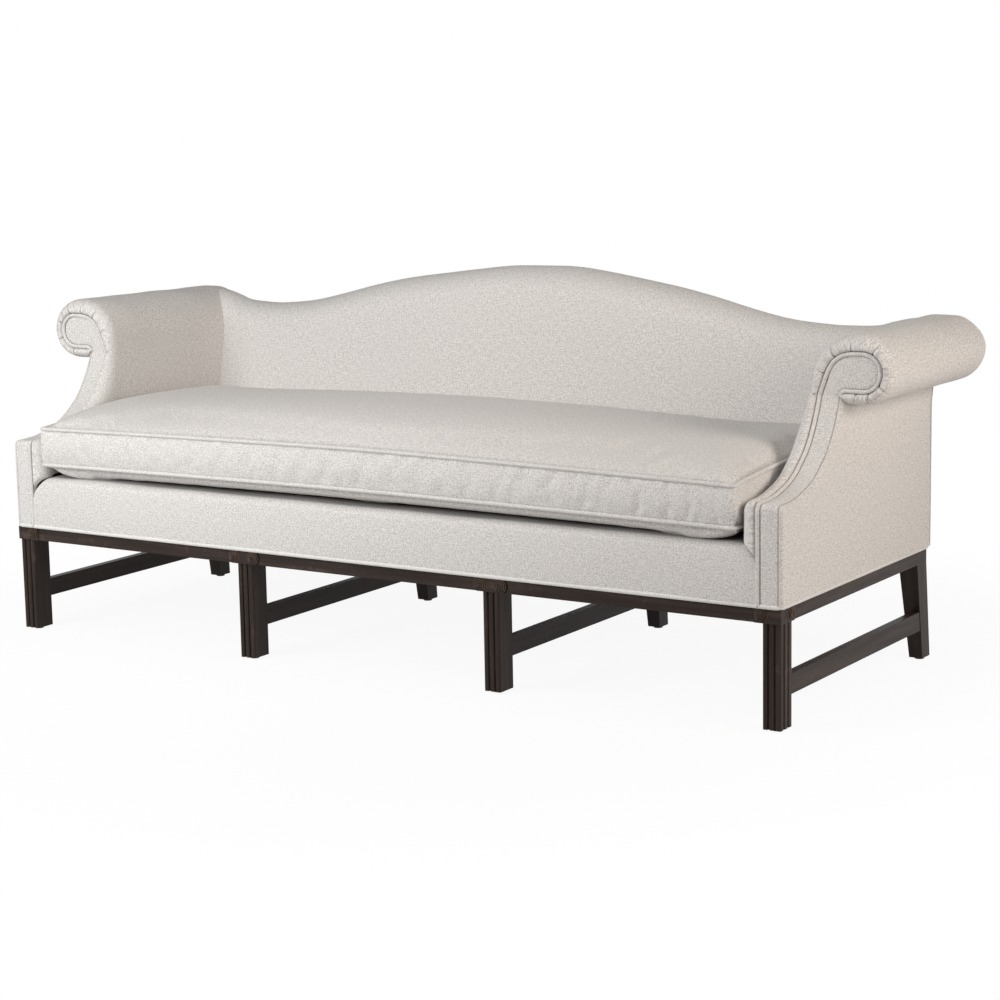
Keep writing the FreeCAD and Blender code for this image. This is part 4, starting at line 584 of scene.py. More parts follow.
def arm_cover(pleats):
    """The inside arm and roll cover of the right-hand arm as one grid.

    Rows follow the welt from the seat border up the front, along the sweep and round the scroll.
    Columns go from the welt over the puffed front edge and back along the arm to the outer back.
    Pleats are dents along given places of the scroll that fade backwards; painted shade darkens each
    pleat's fold and the columns beside the welt.
    """
    proud = sizes().puff / MM
    reach = 24.0
    depth = np.linspace(0, 1, 34)[1:] ** 1.15
    welt = front_line(0, 13, BASE_Z, ARM_COUNTS)
    edge = front_line(reach, 13, BASE_Z, ARM_COUNTS)
    normal = turned_left(welt)
    rows, upright = len(welt), ARM_COUNTS[0]
    level = np.r_[np.zeros(upright), np.linspace(0, 1, rows - upright)]
    corner_z = edge[upright - 1, 1]
    rear_z = np.where(level > 0, corner_z + (SPLIT_Z - corner_z) * level, edge[:, 1])
    edge_x = inner_x(edge[:, 0], edge[:, 1])
    swell = np.interp(level, [0, 0.12, 0.3, 0.9, 1], [0.45, 0.7, 1.0, 1.0, 0.75]) * proud
    out, lift, back = front_edge(WELT_X - edge_x, swell)
    x = WELT_X - out
    y = welt[:, :1] + normal[:, :1] * lift + (edge[:, :1] - welt[:, :1]) * back
    z = welt[:, 1:] + normal[:, 1:] * lift + (edge[:, 1:] - welt[:, 1:]) * back
    rear = rear_y(rear_z) - 1.0
    inside_y = edge[:, :1] + (rear[:, None] - edge[:, :1]) * depth
    inside_z = edge[:, 1:] + (rear_z[:, None] - edge[:, 1:]) * depth
    lower = np.stack([np.hstack([x, inner_x(inside_y, inside_z)]), np.hstack([y, inside_y]),
                      np.hstack([z, inside_z])], -1)
    # the upright's rows close up above the seat border's rounded end, and turn in there
    front = out.shape[1]
    foot = np.interp(lower[0, :, 0], *np.transpose(BORDER_END))
    foot[:2] = BASE_Z
    foot[front:] = np.interp(lower[0, front:, 1], [0, 60, 120], [394.5, 400, 402])
    rise = lower[:upright, :, 2]
    lower[:upright, :, 2] = foot + (rise[-1] - foot) * (rise - rise[0]) / (rise[-1] - rise[0])
    height = lower[:upright, :, 2] - foot
    tuck = np.clip(1 - height / 9.0, 0, 1) ** 2 * np.clip(1 - lower[:upright, :, 1] / 30.0, 0, 1)
    tuck[:, :2] = 0
    lower[:upright, :, 1] += 11.0 * tuck

    ring = scroll_ring()
    front_y = SCROLL_Y + reach
    stations = np.r_[front_y, front_y + (BACK_Y - front_y) * depth]
    sections = np.moveaxis(roll_section(stations), 0, 1)
    away = sections[:, 0] - ring
    reach_out = np.linalg.norm(away, axis=1)
    out, lift, back = front_edge(reach_out, np.full(len(ring), proud * 0.75))
    flat = ring[:, None] + (away / reach_out[:, None])[:, None] * out[..., None]
    head = np.stack([flat[..., 0], SCROLL_Y - lift + reach * back, flat[..., 1]], -1)
    body = sections[:, 1:]
    end = rear_y(body[:, -1, 1]) - 1.0
    body_y = front_y + (stations[None, 1:] - front_y) * ((end - front_y) / (BACK_Y - front_y))[:, None]
    roll = np.concatenate([head, stacked(body[..., 0], body_y, body[..., 1])], 1)
    grid = np.concatenate([lower, roll])

    run = lengths(ring)
    start = run[RING_COUNTS[0] - 2]
    past = np.maximum(np.hstack([out, reach_out[:, None] + 0 * body_y]) - 5.0, 0) + np.hstack([
        reach * back, body_y - front_y + reach])
    dent, shade = np.zeros((2,) + grid.shape[:2])
    for place, strength, width, fade in pleats:
        gap = (run - start - place)[:, None] - 0.12 * past
        fading = np.exp(-(past / fade) ** 2)
        fold = np.exp(-(gap / width) ** 2) - 0.25 * np.exp(-((gap - 2.6 * width) / (2.2 * width)) ** 2)
        dent[rows:] += strength * fading * fold
        # Painted shade down the middle of each pleat's fold.
        shade[rows:] += 1.1 * fading * np.exp(-(gap / (0.5 * width)) ** 2)
    # Painted shade on the first columns, beside the welt cord.
    beside = np.broadcast_to(np.clip(1 - np.arange(grid.shape[1]) / 3.0, 0, 1), shade.shape)
    shade = np.clip(shade + 0.8 * beside, 0, 1)
    points = placed(*np.moveaxis(grid, -1, 0))
    calm = np.clip((BACK_Y - grid[..., 1]) / 60.0, 0, 1)
    calm = calm * np.clip((np.arange(grid.shape[1]) - 10) / 12.0, 0, 1)
    uneven = ripple(points, 0.0011, 0.16, 12) * calm
    points = points - outward(grid) * (dent * MM - uneven)[..., None]
    around = np.broadcast_to(SPLIT_Z + 1.3 * run[:, None], (len(run), grid.shape[1]))
    along = np.concatenate([lower[..., 2], around])
    cloth = stacked(grid[..., 1] * MM - (grid[..., 0] - 965) * 0.0003, along * MM)
    return points, cloth, shade


# Each pleat: its place along the scroll from the shoulder, depth, width and how far it fades
RIGHT_PLEATS = ((21, 1.8, 1.5, 24), (62, 2.6, 1.8, 30), (101, 2.0, 1.5, 24), (147, 2.4, 1.8, 26),
                (180, 0.9, 1.5, 16), (213, 2.2, 1.8, 26), (240, 2.4, 1.8, 26), (267, 2.2, 1.6, 26))
LEFT_PLEATS = ((24, 1.8, 1.6, 24), (65, 2.4, 1.8, 30), (101, 2.3, 1.6, 26), (138, 2.0, 1.7, 24),
               (172, 1.0, 1.6, 18), (206, 1.8, 1.6, 24), (246, 2.0, 1.6, 24))


class SOFA_OT_arm_covers(bpy.types.Operator):
    """Inside arm and roll covers, puffed in front of the welt and pleated round the scrolls"""
    bl_idname = "sofa.arm_covers"
    bl_label = "Arm covers"

    def execute(self, context):
        for side, word, pleats in ((1, "right", RIGHT_PLEATS), (-1, "left", LEFT_PLEATS)):
            points, cloth, shade = arm_cover(pleats)
            soft_piece(f"arm_cover_{word}", [(mirrored(points, side), cloth, shade)],
                       finish_named("linen_cover"),
                       (f"inside_arm_pad_{word}", f"arm_roll_pad_{word}"),
                       outside=(side * 1.04, FRONT + 0.45, 0.6))
        return {"FINISHED"}


def facing_grids():
    """The right-hand arm front: a strip up the front and along the sweep, then the scroll's face.

    The strip's rows cross it from welt to outer seam; the face's rows go from the ring to a line
    in its middle. Near every edge the surface dips under the cord by an exponential of the distance.
    """
    across = np.r_[0, 0.08, 0.15, 0.18, 0.22, 0.27, 0.35, 0.47, 0.62, 0.8, 1.0]
    line = front_line(0, 11, BASE_Z, ARM_COUNTS)
    normal = turned_left(line)
    middle = (WELT_X + 3 + SEAM_X) / 2
    left = WELT_X - 1 + (middle - WELT_X + 1) * across
    right = SEAM_X + 3 + (middle - SEAM_X - 3) * across
    strip_x = np.r_[left, right[::-1][1:]]
    from_left = np.maximum(strip_x - WELT_X - 3, 0)
    from_right = np.maximum(SEAM_X + 1 - strip_x, 0)
    lift = 2.0 - 3.6 * np.exp(-from_left / 2.4) - 3.4 * np.exp(-from_right / 2.6)
    strip = np.stack([np.broadcast_to(strip_x, (len(line), len(strip_x))),
                      line[:, :1] + normal[:, :1] * lift, line[:, 1:] + normal[:, 1:] * lift], -1)
    run = lengths(line)
    strip_cloth = stacked(strip_x * MM, run[:, None] * MM)

    ring = scroll_ring()
    ring = np.vstack([[(WELT_X, SPLIT_Z)], ring, [(NECK_X, SPLIT_Z)]])
    shown = ring + turned_left(ring)
    shown[0] = (left[0], SPLIT_Z)
    shown[-1] = (right[0], SPLIT_Z)
    stops = np.cumsum([0] + [count - 1 for count in RING_COUNTS] + [1])
    spine = np.array([(middle, SPLIT_Z), (middle, 700), (1062, 722), (1100, SCROLL_Z), (1100, SCROLL_Z),
                      (1062, 722), (middle, 700), (middle, SPLIT_Z)])
    index = np.arange(len(ring))
    spine = np.stack([np.interp(index, stops, spine[:, i]) for i in range(2)], -1)
    flat = shown[:, None] * (1 - across)[None, :, None] + spine[:, None] * across[None, :, None]
    away = np.maximum(np.linalg.norm(flat - shown[:, None], axis=-1) - 4.0, 0)
    head_lift = 2.0 - 4.6 * np.exp(-away / 2.4)
    head_cloth = stacked(flat[..., 0] * MM, (run[-1] + flat[..., 1] - SPLIT_Z) * MM)
    # Painted shade along the strip's edges beside the welt and the outer seam, and round the scroll face
    # inside the ring.
    strip_shade = np.clip(1.3 - np.minimum(from_left, from_right) / 3.0, 0, 0.9)
    strip_shade = np.broadcast_to(strip_shade, strip.shape[:2])
    head_shade = np.clip(1.2 - away / 2.5, 0, 0.8)
    return [(placed(*np.moveaxis(strip, -1, 0)), strip_cloth, strip_shade),
            (placed(flat[..., 0], SCROLL_Y - head_lift, flat[..., 1]), head_cloth, head_shade)]


class SOFA_OT_arm_facings(bpy.types.Operator):
    """Arm fronts: the upright strip, the sweep and the scroll face inside the welt"""
    bl_idname = "sofa.arm_facings"
    bl_label = "Arm facings"

    def execute(self, context):
        for side, word in ((1, "right"), (-1, "left")):
            grids = [(mirrored(points, side), cloth, shade) for points, cloth, shade in facing_grids()]
            soft_piece(f"arm_front_{word}", grids, finish_named("linen_cover"),
                       (f"arm_facing_{word}",), weld=0.0002, outside=(side * 1.04, FRONT + 0.5, 0.3))
        return {"FINISHED"}


def welt_path():
    """The welt's line on the right-hand arm with its two crosswise directions, in metres."""
    line = front_line(0, 12, BASE_Z - 2, ARM_COUNTS)
    normal = turned_left(line)
    ring = scroll_ring()
    around = turned_left(ring)
    path = np.vstack([np.c_[np.full(len(line), WELT_X), line + normal * 2.0],
                      np.c_[ring[:, 0], np.full(len(ring), SCROLL_Y - 2.0), ring[:, 1]]])
    first = np.vstack([np.tile([-1.0, 0, 0], (len(line), 1)),
                       np.c_[around[:, 0], 0 * around[:, 0], around[:, 1]]])
    second = np.vstack([np.c_[0 * normal[:, 0], normal], np.tile([0, -1.0, 0], (len(ring), 1))])
    return placed(*path.T), first, second


def outer_seam():
    """The fine cord down the outer edge of the right-hand arm front, from the neck to the base."""
    line = front_line(1.5, 11, BASE_Z, ARM_COUNTS)
    normal = turned_left(line)
    path = placed(SEAM_X + 1.6, *line.T)
    return path, np.tile([1.0, 0, 0], (len(line), 1)), np.c_[0 * normal[:, 0], normal]


def plan_loop(half_x, front_y, back_y, turn, z):
    """A rounded rectangle round the sofa at one height, with the outward direction at each point."""
    side, rear, front = half_x - turn, back_y - turn, front_y + turn
    centres = ((side, rear), (-side, rear), (-side, front), (side, front))
    corners = [arc(centre, turn, 90 * i, 90 * i + 90, 9) for i, centre in enumerate(centres)]
    stops = np.vstack(corners + [corners[0][:1]])
    run = lengths(stops)
    wanted = np.unique(np.r_[run, np.linspace(0, run[-1], 240)])[:-1]
    line = np.stack([np.interp(wanted, run, stops[:, i]) for i in range(2)], -1)
    return placed(*line.T, z), loop_directions(line)[1]


class SOFA_OT_cords(bpy.types.Operator):
    """Welt cords of the arm fronts, the outer seams and the pale cord above the apron"""
    bl_idname = "sofa.cords"
    bl_label = "Cords"

    def execute(self, context):
        for side, word in ((1, "right"), (-1, "left")):
            welt = tube(*(mirrored(part, side) for part in welt_path()), sizes().welt_radius)
            soft_piece(f"welt_{word}", [welt], finish_named("linen_cord"),
                       (f"arm_front_welt_{word}",), outside=(side * 1.04, FRONT + 0.2, 0.4))
            seam = tube(*(mirrored(part, side) for part in outer_seam()), SEAM_CORD_R, 8)
            soft_piece(f"outer_seam_{word}", [seam], finish_named("linen_cord"))
        low, high = (np.asarray(corner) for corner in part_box("base_welt"))
        front, rear = (low[1] - FRONT) / MM + 4.2, (high[1] - FRONT) / MM - 4
        path, out = plan_loop(high[0] / MM - 4, front, rear, 14, BASE_Z - 0.5)
        up = np.tile([0.0, 0, 1], (len(path), 1))
        soft_piece("base_cord", [tube(path, out, up, sizes().base_welt_radius, closed=True)],
                   finish_named("base_cord"), ("base_welt",))
        return {"FINISHED"}


# ---- outer panels


def outer_arm_grid():
    """The outside of the right-hand arm: rows fan from the arm front's outer seam to the back edge.

    The first columns come out of the seam's crease and round the front edge by a quarter circle;
    the panel then crowns by an exponential of the distance from its nearest edge.
    """
    line = front_line(9.0, 11, BASE_Z + 1, ARM_COUNTS)
    outer = front_line(0.0, 11, BASE_Z + 1, ARM_COUNTS)
    upright = ARM_COUNTS[0]
    level = np.r_[np.zeros(upright), np.linspace(0, 1, len(line) - upright)]
    top = 676.0
    rear_z = np.where(level > 0, line[upright - 1, 1] + (top - line[upright - 1, 1]) * level, line[:, 1])
    angle = np.linspace(0, math.pi / 2, 8)[None, :]
    round_share = np.hstack([[[0.75]], 1 - np.cos(angle) * 0.92])
    round_x = np.hstack([[[SEAM_X]], SEAM_X + 1.2 + (SIDE_X - SEAM_X - 1.2) * np.sin(angle)])
    depth = np.linspace(0, 1, 60)[1:]
    rear = rear_y(rear_z) - 1.0
    y = np.hstack([outer[:, :1] + (line[:, :1] - outer[:, :1]) * round_share,
                   line[:, :1] + (rear[:, None] - line[:, :1]) * depth])
    z = np.hstack([outer[:, 1:] + (line[:, 1:] - outer[:, 1:]) * round_share,
                   line[:, 1:] + (rear_z[:, None] - line[:, 1:]) * depth])
    count = round_share.shape[1]
    edge = np.minimum(np.minimum(y - line[:, :1], rear[:, None] - y), z - BASE_Z)
    crown = 2.4 * (1 - np.exp(-np.maximum(edge, 0) / 50.0))
    x = np.hstack([np.broadcast_to(round_x, (len(line), count)), SIDE_X + crown[:, count:]])
    x = x - 2.0 * np.exp(-(rear[:, None] - y) / 4.0)
    points = placed(x, y, z)
    column = np.arange(x.shape[1])
    points[..., 0] += ripple(points, 0.0006, 0.3, 31) * np.clip((column - count) / 8.0, 0, 1)
    # Painted shade on the first columns, beside the outer seam's cord.
    shade = np.broadcast_to(np.clip(1 - column / 2.5, 0, 0.8), x.shape)
    return points, stacked(y * MM, z * MM), shade


def crest_height(x):
    """The top of the back at each place along it, read from its smooth line."""
    line = line_through([(-place, height) for place, height in reversed(CREST[1:])] + list(CREST), 400)
    return np.interp(x, line[:, 0], line[:, 1])


def back_grids():
    """The outer back: columns from the base cord to under the crest, and an ear behind each roll."""
    x = np.linspace(-SIDE_X + 1, SIDE_X - 1, 160)
    rear_roll = 105.0
    shoulder = INNER_Z - 5 + np.sqrt(np.maximum(0, rear_roll ** 2 - (np.abs(x) - 1050) ** 2))
    top = np.where(np.abs(x) > 1000, np.maximum(crest_height(x) - 5, shoulder - 2), crest_height(x) - 5)
    step = np.linspace(0, 1, 50)[:, None]
    z = BASE_Z + (top[None, :] - BASE_Z) * step
    crown = 3.0 * (1 - np.exp(-np.minimum(z - BASE_Z, top - z) / 40.0))
    crown = crown * (1 - np.exp(-(SIDE_X - np.abs(x)) / 40.0))
    grids = [(placed(x, rear_y(z) + crown, z), stacked(x * MM, z * MM))]
    first = sum(RING_COUNTS[:3]) - 3
    rim = roll_section(np.array([ROLL_REAR_Y]))[0, first:first + RING_COUNTS[3]][::-2]
    rim_x, rim_z = ((rim - (ROLL_X, ROLL_Z)) * 0.99 + (ROLL_X, ROLL_Z)).T
    share = np.linspace(0, 1, 24)[:, None]
    ear_x = SIDE_X - 2 + (rim_x - SIDE_X + 2) * share
    ear_z = np.broadcast_to(rim_z, ear_x.shape)
    puffed = 3.0 * (1 - share ** 4)
    for side in (1, -1):
        ear = (placed(side * ear_x, rear_y(ear_z) + puffed, ear_z), stacked(side * ear_x * MM, ear_z * MM))
        grids.append(tuple(part[:, ::side] for part in ear))
    return grids


class SOFA_OT_outer_panels(bpy.types.Operator):
    """Outside arms and outside back, drawn tight over the frame"""
    bl_idname = "sofa.outer_panels"
    bl_label = "Outer panels"

    def execute(self, context):
        points, cloth, shade = outer_arm_grid()
        for side, word in ((1, "right"), (-1, "left")):
            soft_piece(f"outer_arm_{word}", [(mirrored(points, side), cloth, shade)],
                       finish_named("linen_cover"), (f"outer_arm_panel_{word}",),
                       outside=(0, FRONT + 0.4, 0.5))
        soft_piece("outer_back", back_grids(), finish_named("linen_cover"),
                   ("outer_back_panel",), outside=(0, FRONT, 0.5))
        return {"FINISHED"}


def inside_back_grid():
    """The inside back: a raked face, rounded over the crest and turned down behind it.

    The face stands at a depth that grows with height; a fourth-power crown fills it towards the
    middle. The crest is two Bezier turns, level at the top.
    """
    x = np.sin(np.linspace(-1, 1, 220) * math.pi / 2 * 0.92) / math.sin(math.pi / 2 * 0.92) * 1046
    top = crest_height(x)
    crown = 16 * np.maximum(0, 1 - (np.abs(x) / 945) ** 4)
    shoulder = top - 64
    z_face = 396 + (shoulder - 396) * np.linspace(0, 1, 46)[:, None]
    belly = 5.0 * np.sin(np.clip((z_face - 480) / (top - 480), 0, 1) * math.pi)
    y_face = 680 + 0.2 * (z_face - 536) - crown - belly
    peak_y = rear_y(top) - 16

    def turn(start, lead, finish, trail, count):
        step = np.linspace(0, 1, count)[1:, None]
        return ((1 - step) ** 3 * start + 3 * step * (1 - step) ** 2 * lead
                + 3 * step ** 2 * (1 - step) * (finish - trail) + step ** 3 * finish)

    y_over = turn(y_face[-1], y_face[-1] + 5, peak_y, 42, 20)
    z_over = turn(shoulder, shoulder + 36, top, 0, 20)
    rear_z = top - 30
    y_down = turn(peak_y, peak_y + 12, rear_y(rear_z) + 1.0, 0, 14)
    z_down = turn(top, top, rear_z, -16, 14)
    y = np.vstack([y_face, y_over, y_down])
    z = np.vstack([z_face, z_over, z_down])
    points = placed(x, y, z)
    points = points + outward(points) * ripple(points, 0.0016, 0.34, 5)[..., None]
    return points, stacked(x * MM, run_down(y, z) * MM)


class SOFA_OT_inside_back(bpy.types.Operator):
    """Inside back: the padded camel-shaped face that rolls over the crest"""
    bl_idname = "sofa.inside_back"
    bl_label = "Inside back"

    def execute(self, context):
        piece = soft_piece("inside_back", [inside_back_grid()], finish_named("linen_cover"),
                           ("inside_back_pad",), outside=(0, FRONT + 2.0, 0.2))
        return {"FINISHED"}


def border_grid():
    """The padded seat border: a crowned face, a rounded top edge and the platform's front strip.

    The top runs level and drops at both ends along a measured curve; a superellipse rounds it.
    """
    x = np.sin(np.linspace(-1, 1, 260) * math.pi / 2) * 1003.5
    top = np.interp(np.abs(x), *np.transpose(BORDER_END))
    low = BASE_Z + 1
    rise = np.linspace(0, 1, 22)[:, None]
    z_face = low + (top - 22 - low) * rise
    crown = 3.0 * np.sin(np.clip(rise, 0, 1) * math.pi) ** 0.7
    y_face = -5.0 - crown + 0 * z_face
    angle = np.linspace(0, math.pi / 2, 14)[1:, None]
    y_over = -5.0 + 24 * (1 - np.cos(angle)) + 0 * top
    z_over = top - 22 + 22 * np.sin(angle)
    back = np.linspace(0, 1, 8)[1:, None]
    y_deck = 19 + 60 * back + 0 * top
    z_deck = top + (400 - top) * 0.15 * back * np.clip((960 - np.abs(x)) / 20, 0, 1)
    y, z = np.vstack([y_face, y_over, y_deck]), np.vstack([z_face, z_over, z_deck])
    points = placed(x, y, z)
    points = points + outward(points) * ripple(points, 0.0012, 0.22, 17)[..., None]
    # The third part is painted shade on the rounded top and the strip behind it, where the cushion
    # overhangs the border.
    return points, stacked(x * MM, run_down(y, z) * MM), 0.8 * np.clip((y - 9) / 9, 0, 1)


def level_sheet(node, top, inset, drop, count=60):
    """A sheet over a CAD box: level, with its rim turned down by `drop`."""
    low, high = (np.asarray(corner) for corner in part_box(node))
    x = np.linspace(low[0] + inset, high[0] - inset, count * 2)
    y = np.linspace(low[1] + inset, high[1] - inset, count)
    spread = np.minimum(np.minimum(x[None, :] - x[0], x[-1] - x[None, :]),
                        np.minimum(y[:, None] - y[0], y[-1] - y[:, None]))
    z = top - drop * np.exp(-spread / 0.006)
    points = stacked(x, y[:, None], z)
    points[..., 2] += ripple(points, 0.0008, 0.3, 23)
    return points, points[..., :2].copy()


class SOFA_OT_seat_base(bpy.types.Operator):
    """Seat border, platform cloth under the cushion and dust cloth under the seat"""
    bl_idname = "sofa.seat_base"
    bl_label = "Seat base"

    def execute(self, context):
        soft_piece("seat_border", [border_grid()], finish_named("linen_cover"),
                   ("front_border",), outside=(0, FRONT + 0.3, 0.3))
        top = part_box("deck_pad")[1][2]
        points, cloth = level_sheet("deck_pad", top, 0.002, 0.012)
        soft_piece("platform", [(points, cloth)], finish_named("deck_cloth"), ("deck_pad",),
                   outside=(0, FRONT + 0.4, 0.0))
        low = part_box("dust_cover")[0][2]
        points, cloth = level_sheet("dust_cover", low, 0.001, -0.0015)
        piece = soft_piece("underside_cloth", [(points, cloth)], finish_named("dust_cloth"),
                           ("dust_cover",), outside=(0, FRONT + 0.4, 1.0))
        return {"FINISHED"}


# ---- seat cushion


CUSHION_FRONT, CUSHION_REAR_HIGH, CUSHION_REAR_LOW = -12.0, 652.0, 632.0
CUSHION_LOW, CUSHION_HIGH = 428.0, 517.0
# SEAM_SHADE is the strength of the painted shade along the cushion's seams.
CUSHION_RISE, CUSHION_FALL, BOXING_BULGE, SEAM_SHADE = 66.0, 36.0, 6.0, 0.45
FILLING_STEPS = 20
FILLING = {"quality": 5, "mass": 0.4, "tension_stiffness": 12, "compression_stiffness": 8,
           "shear_stiffness": 4, "bending_stiffness": 0.8, "use_pressure": True,
           "uniform_pressure_force": 2.5, "shrink_min": -0.012, "vertex_group_mass": "seams",
           "pin_stiffness": 1.0}


def cushion_half(y):
    """Half the cushion's length at a depth; its ends draw in towards the back."""
    return 954 - 18 * (y - CUSHION_FRONT) / (CUSHION_REAR_HIGH - CUSHION_FRONT)


def swelling(distance, span):
    """A quarter of an ellipse: steep at a seam and level from `span` on."""
    return np.sqrt(1 - (1 - np.clip(distance / span, 0, 1)) ** 2)


def rim_of(grid):
    """The closed edge of a grid of points, ending where it starts."""
    return np.concatenate([grid[0], grid[1:, -1], grid[-1, -2::-1], grid[-2:0:-1, 0], grid[:1, 0]])


def places(mesh):
    """The places of a mesh's points."""
    flat = np.empty(len(mesh.vertices) * 3)
    mesh.vertices.foreach_get("co", flat)
    return flat.reshape(-1, 3)


def cushion_grids(rise, fall, bulge):
    """Top, bottom and boxing of the cushion, meeting at the seams.

    The seams bow up a little in the middle. The top rises steeply from every seam by quarter ellipses
    and fills up towards the middle; the bottom bulges down in front and lies flat on the deck.
    The boxing bows out between its seams.
    """
    share = np.sin(np.linspace(-1, 1, 170) * math.pi / 2 * 0.9) / math.sin(math.pi / 2 * 0.9)
    deep = np.sin(np.linspace(-1, 1, 64) * math.pi / 2 * 0.85)[:, None] / math.sin(math.pi / 2 * 0.85)
    deep = 0.5 + 0.5 * deep
    bowed = 1 - np.abs(share) ** 1.5
    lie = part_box("deck_pad")[1][2] / MM + 0.6
    grids = []
    for rear in (CUSHION_REAR_HIGH, CUSHION_REAR_LOW):
        y = CUSHION_FRONT + (rear - CUSHION_FRONT) * deep
        half = cushion_half(y)
        x = share[None, :] * half
        from_end = (1 - np.abs(share))[None, :] * half
        from_side = np.minimum(y - CUSHION_FRONT, rear - y)
        if rear == CUSHION_REAR_HIGH:
            edge = swelling(from_end, 90.0) * swelling(y - CUSHION_FRONT, 280.0)
            edge = edge * swelling(rear - y, 80.0)
            middle = (1 - np.abs(share) ** 2.6)[None, :] * (1 - np.abs(2 * deep ** 0.85 - 1) ** 2.4)
            z = CUSHION_HIGH + 13 * bowed * (1 - 0.4 * deep) + rise * (0.5 * edge + 0.5 * middle)
            z = z + 16 * np.abs(share) ** 8 * (1 - (2 * deep - 1) ** 2)
        else:
            edge = swelling(from_end, 125.0) * swelling(from_side, 60.0)
            z = CUSHION_LOW + 8 * bowed * (1 - deep) - fall * edge
            z = np.maximum(z, lie - 6.5 * np.clip(1 - (y - 50) / 40.0, 0, 1))
        # Painted shade near the seams of the top and the bottom.
        near = np.minimum(from_end, from_side)
        shade = SEAM_SHADE * np.clip(1.2 - near / 7.0, 0, 1)
        grids.append((placed(x, y, z), stacked(x * MM, y * MM), shade))
    rim_top, rim_low = (rim_of(grid[0]) for grid in grids)
    way = np.gradient(rim_top, axis=0)
    way /= np.linalg.norm(way, axis=1)[:, None]
    out = np.c_[way[:, 1], -way[:, 0], 0 * way[:, 0]]
    height = np.linspace(0, 1, 12)[:, None, None]
    bow = 4 * height * (1 - height) * bulge * MM
    boxing = rim_low * (1 - height) + rim_top * height + out * bow
    run = lengths(rim_top)
    tall = (CUSHION_HIGH - CUSHION_LOW) * MM
    cloth = stacked(run, height[..., 0] * tall + 1.0)
    # Painted shade near both seams of the boxing.
    seams = np.clip(1.3 - np.minimum(height, 1 - height)[..., 0] * tall / MM / 6.0, 0, 1)
    seams = SEAM_SHADE * seams + 0 * run
    return [grids[0], tuple(part[::-1] for part in grids[1]), (boxing, cloth, seams)], rim_top, rim_low


def filled(piece, pinned, swell):
    """The filling's push on a cover, by cloth simulation with its seams held.

    Some steps of pressure without gravity; each point's move is then capped softly at `swell`.
    """
    start = places(piece.data)
    group = piece.vertex_groups.new(name="seams")
    group.add(pinned.tolist(), 1.0, "REPLACE")
    cloth = piece.modifiers.new("filling", "CLOTH")
    for key, setting in FILLING.items():
        setattr(cloth.settings, key, setting)
    cloth.settings.effector_weights.gravity = 0
    cloth.collision_settings.use_collision = False
    cloth.point_cache.frame_start, cloth.point_cache.frame_end = 1, FILLING_STEPS
    scene = bpy.context.scene
    for step in range(1, FILLING_STEPS + 1):
        scene.frame_set(step)
    moved = places(piece.evaluated_get(bpy.context.evaluated_depsgraph_get()).data)
    piece.modifiers.remove(cloth)
    scene.frame_set(1)
    shift = moved - start
    far = np.linalg.norm(shift, axis=1, keepdims=True)
    shift *= swell / np.maximum(far + swell * 0.35, swell * 0.35 + 1e-9)
    shift = np.where(far > 0, shift, 0)
    piece.data.vertices.foreach_set("co", (start + shift).reshape(-1))
    piece.data.update()


class SOFA_OT_cushion(bpy.types.Operator):
    """The loose bench cushion with corded seams and a zipper behind"""
    bl_idname = "sofa.cushion"
    bl_label = "Seat cushion"

    def execute(self, context):
        grids, rim_top, rim_low = cushion_grids(CUSHION_RISE, CUSHION_FALL, BOXING_BULGE)
        cover = soft_piece("cushion", grids, finish_named("linen_cover"),
                           ("cushion_cover", "cushion_core"), body="seat_cushion",
                           outside=(0, FRONT + 0.32, 0.47))
        place = places(cover.data)
        near = [np.abs(place - spot).max(1).argmin() for spot in np.vstack([rim_top, rim_low])]
        filled(cover, np.unique(near), sizes().swell)
        body = cover.modifiers.new("smooth", "SUBSURF")
        body.levels = body.render_levels = 1
        for word, rim in (("high", rim_top), ("low", rim_low)):
            way, out = loop_directions(rim[:-1])
            cord = tube(rim[:-1] + out * 0.0015, out, np.cross(way, out), sizes().seam_radius, closed=True)
            soft_piece(f"cushion_cord_{word}", [cord], finish_named("linen_cord"),
                       ("cushion_welts",), body="seat_cushion")
        return {"FINISHED"}


# ---- carving, finishes of the solid nodes, and stage


NODE_FINISHES = (
    (("front_leg", "rear_leg"), "wood_upright"),
    (("side_stretcher", "side_apron"), "wood_sideways"),
    (("front_apron", "rear_apron", "carved_brackets"), "wood_lengthwise"),
    (("foot_glides",), "glide_nylon"),
    (("frame_screws",), "screw_steel"),
    (("seat_webbing", "back_webbing"), "jute"),
    (("dust_cover",), "dust_cloth"),
    (("deck_pad",), "deck_cloth"),
    (("cushion_zipper",), "zip_tape"),
    (("arm_front_welt", "cushion_welts", "base_welt"), "linen_cord"),
    (("inside_arm_pad", "arm_roll_pad", "inside_back_pad", "cushion_core"), "wadding"),
    (("arm_facing", "outer_arm_panel", "outer_back_panel", "cushion_cover", "front_border"), "linen_cover"),
    (("apron_dowels", "side_seat_rail", "arm_post", "scroll_board", "back_post", "front_seat_rail",
      "rear_seat_rail", "seat_braces", "corner_blocks", "arm_top_rails", "arm_tack_rails", "crest_rail",
      "lower_back_rail", "back_uprights", "arm_roll_cores"), "raw_beech"),
)


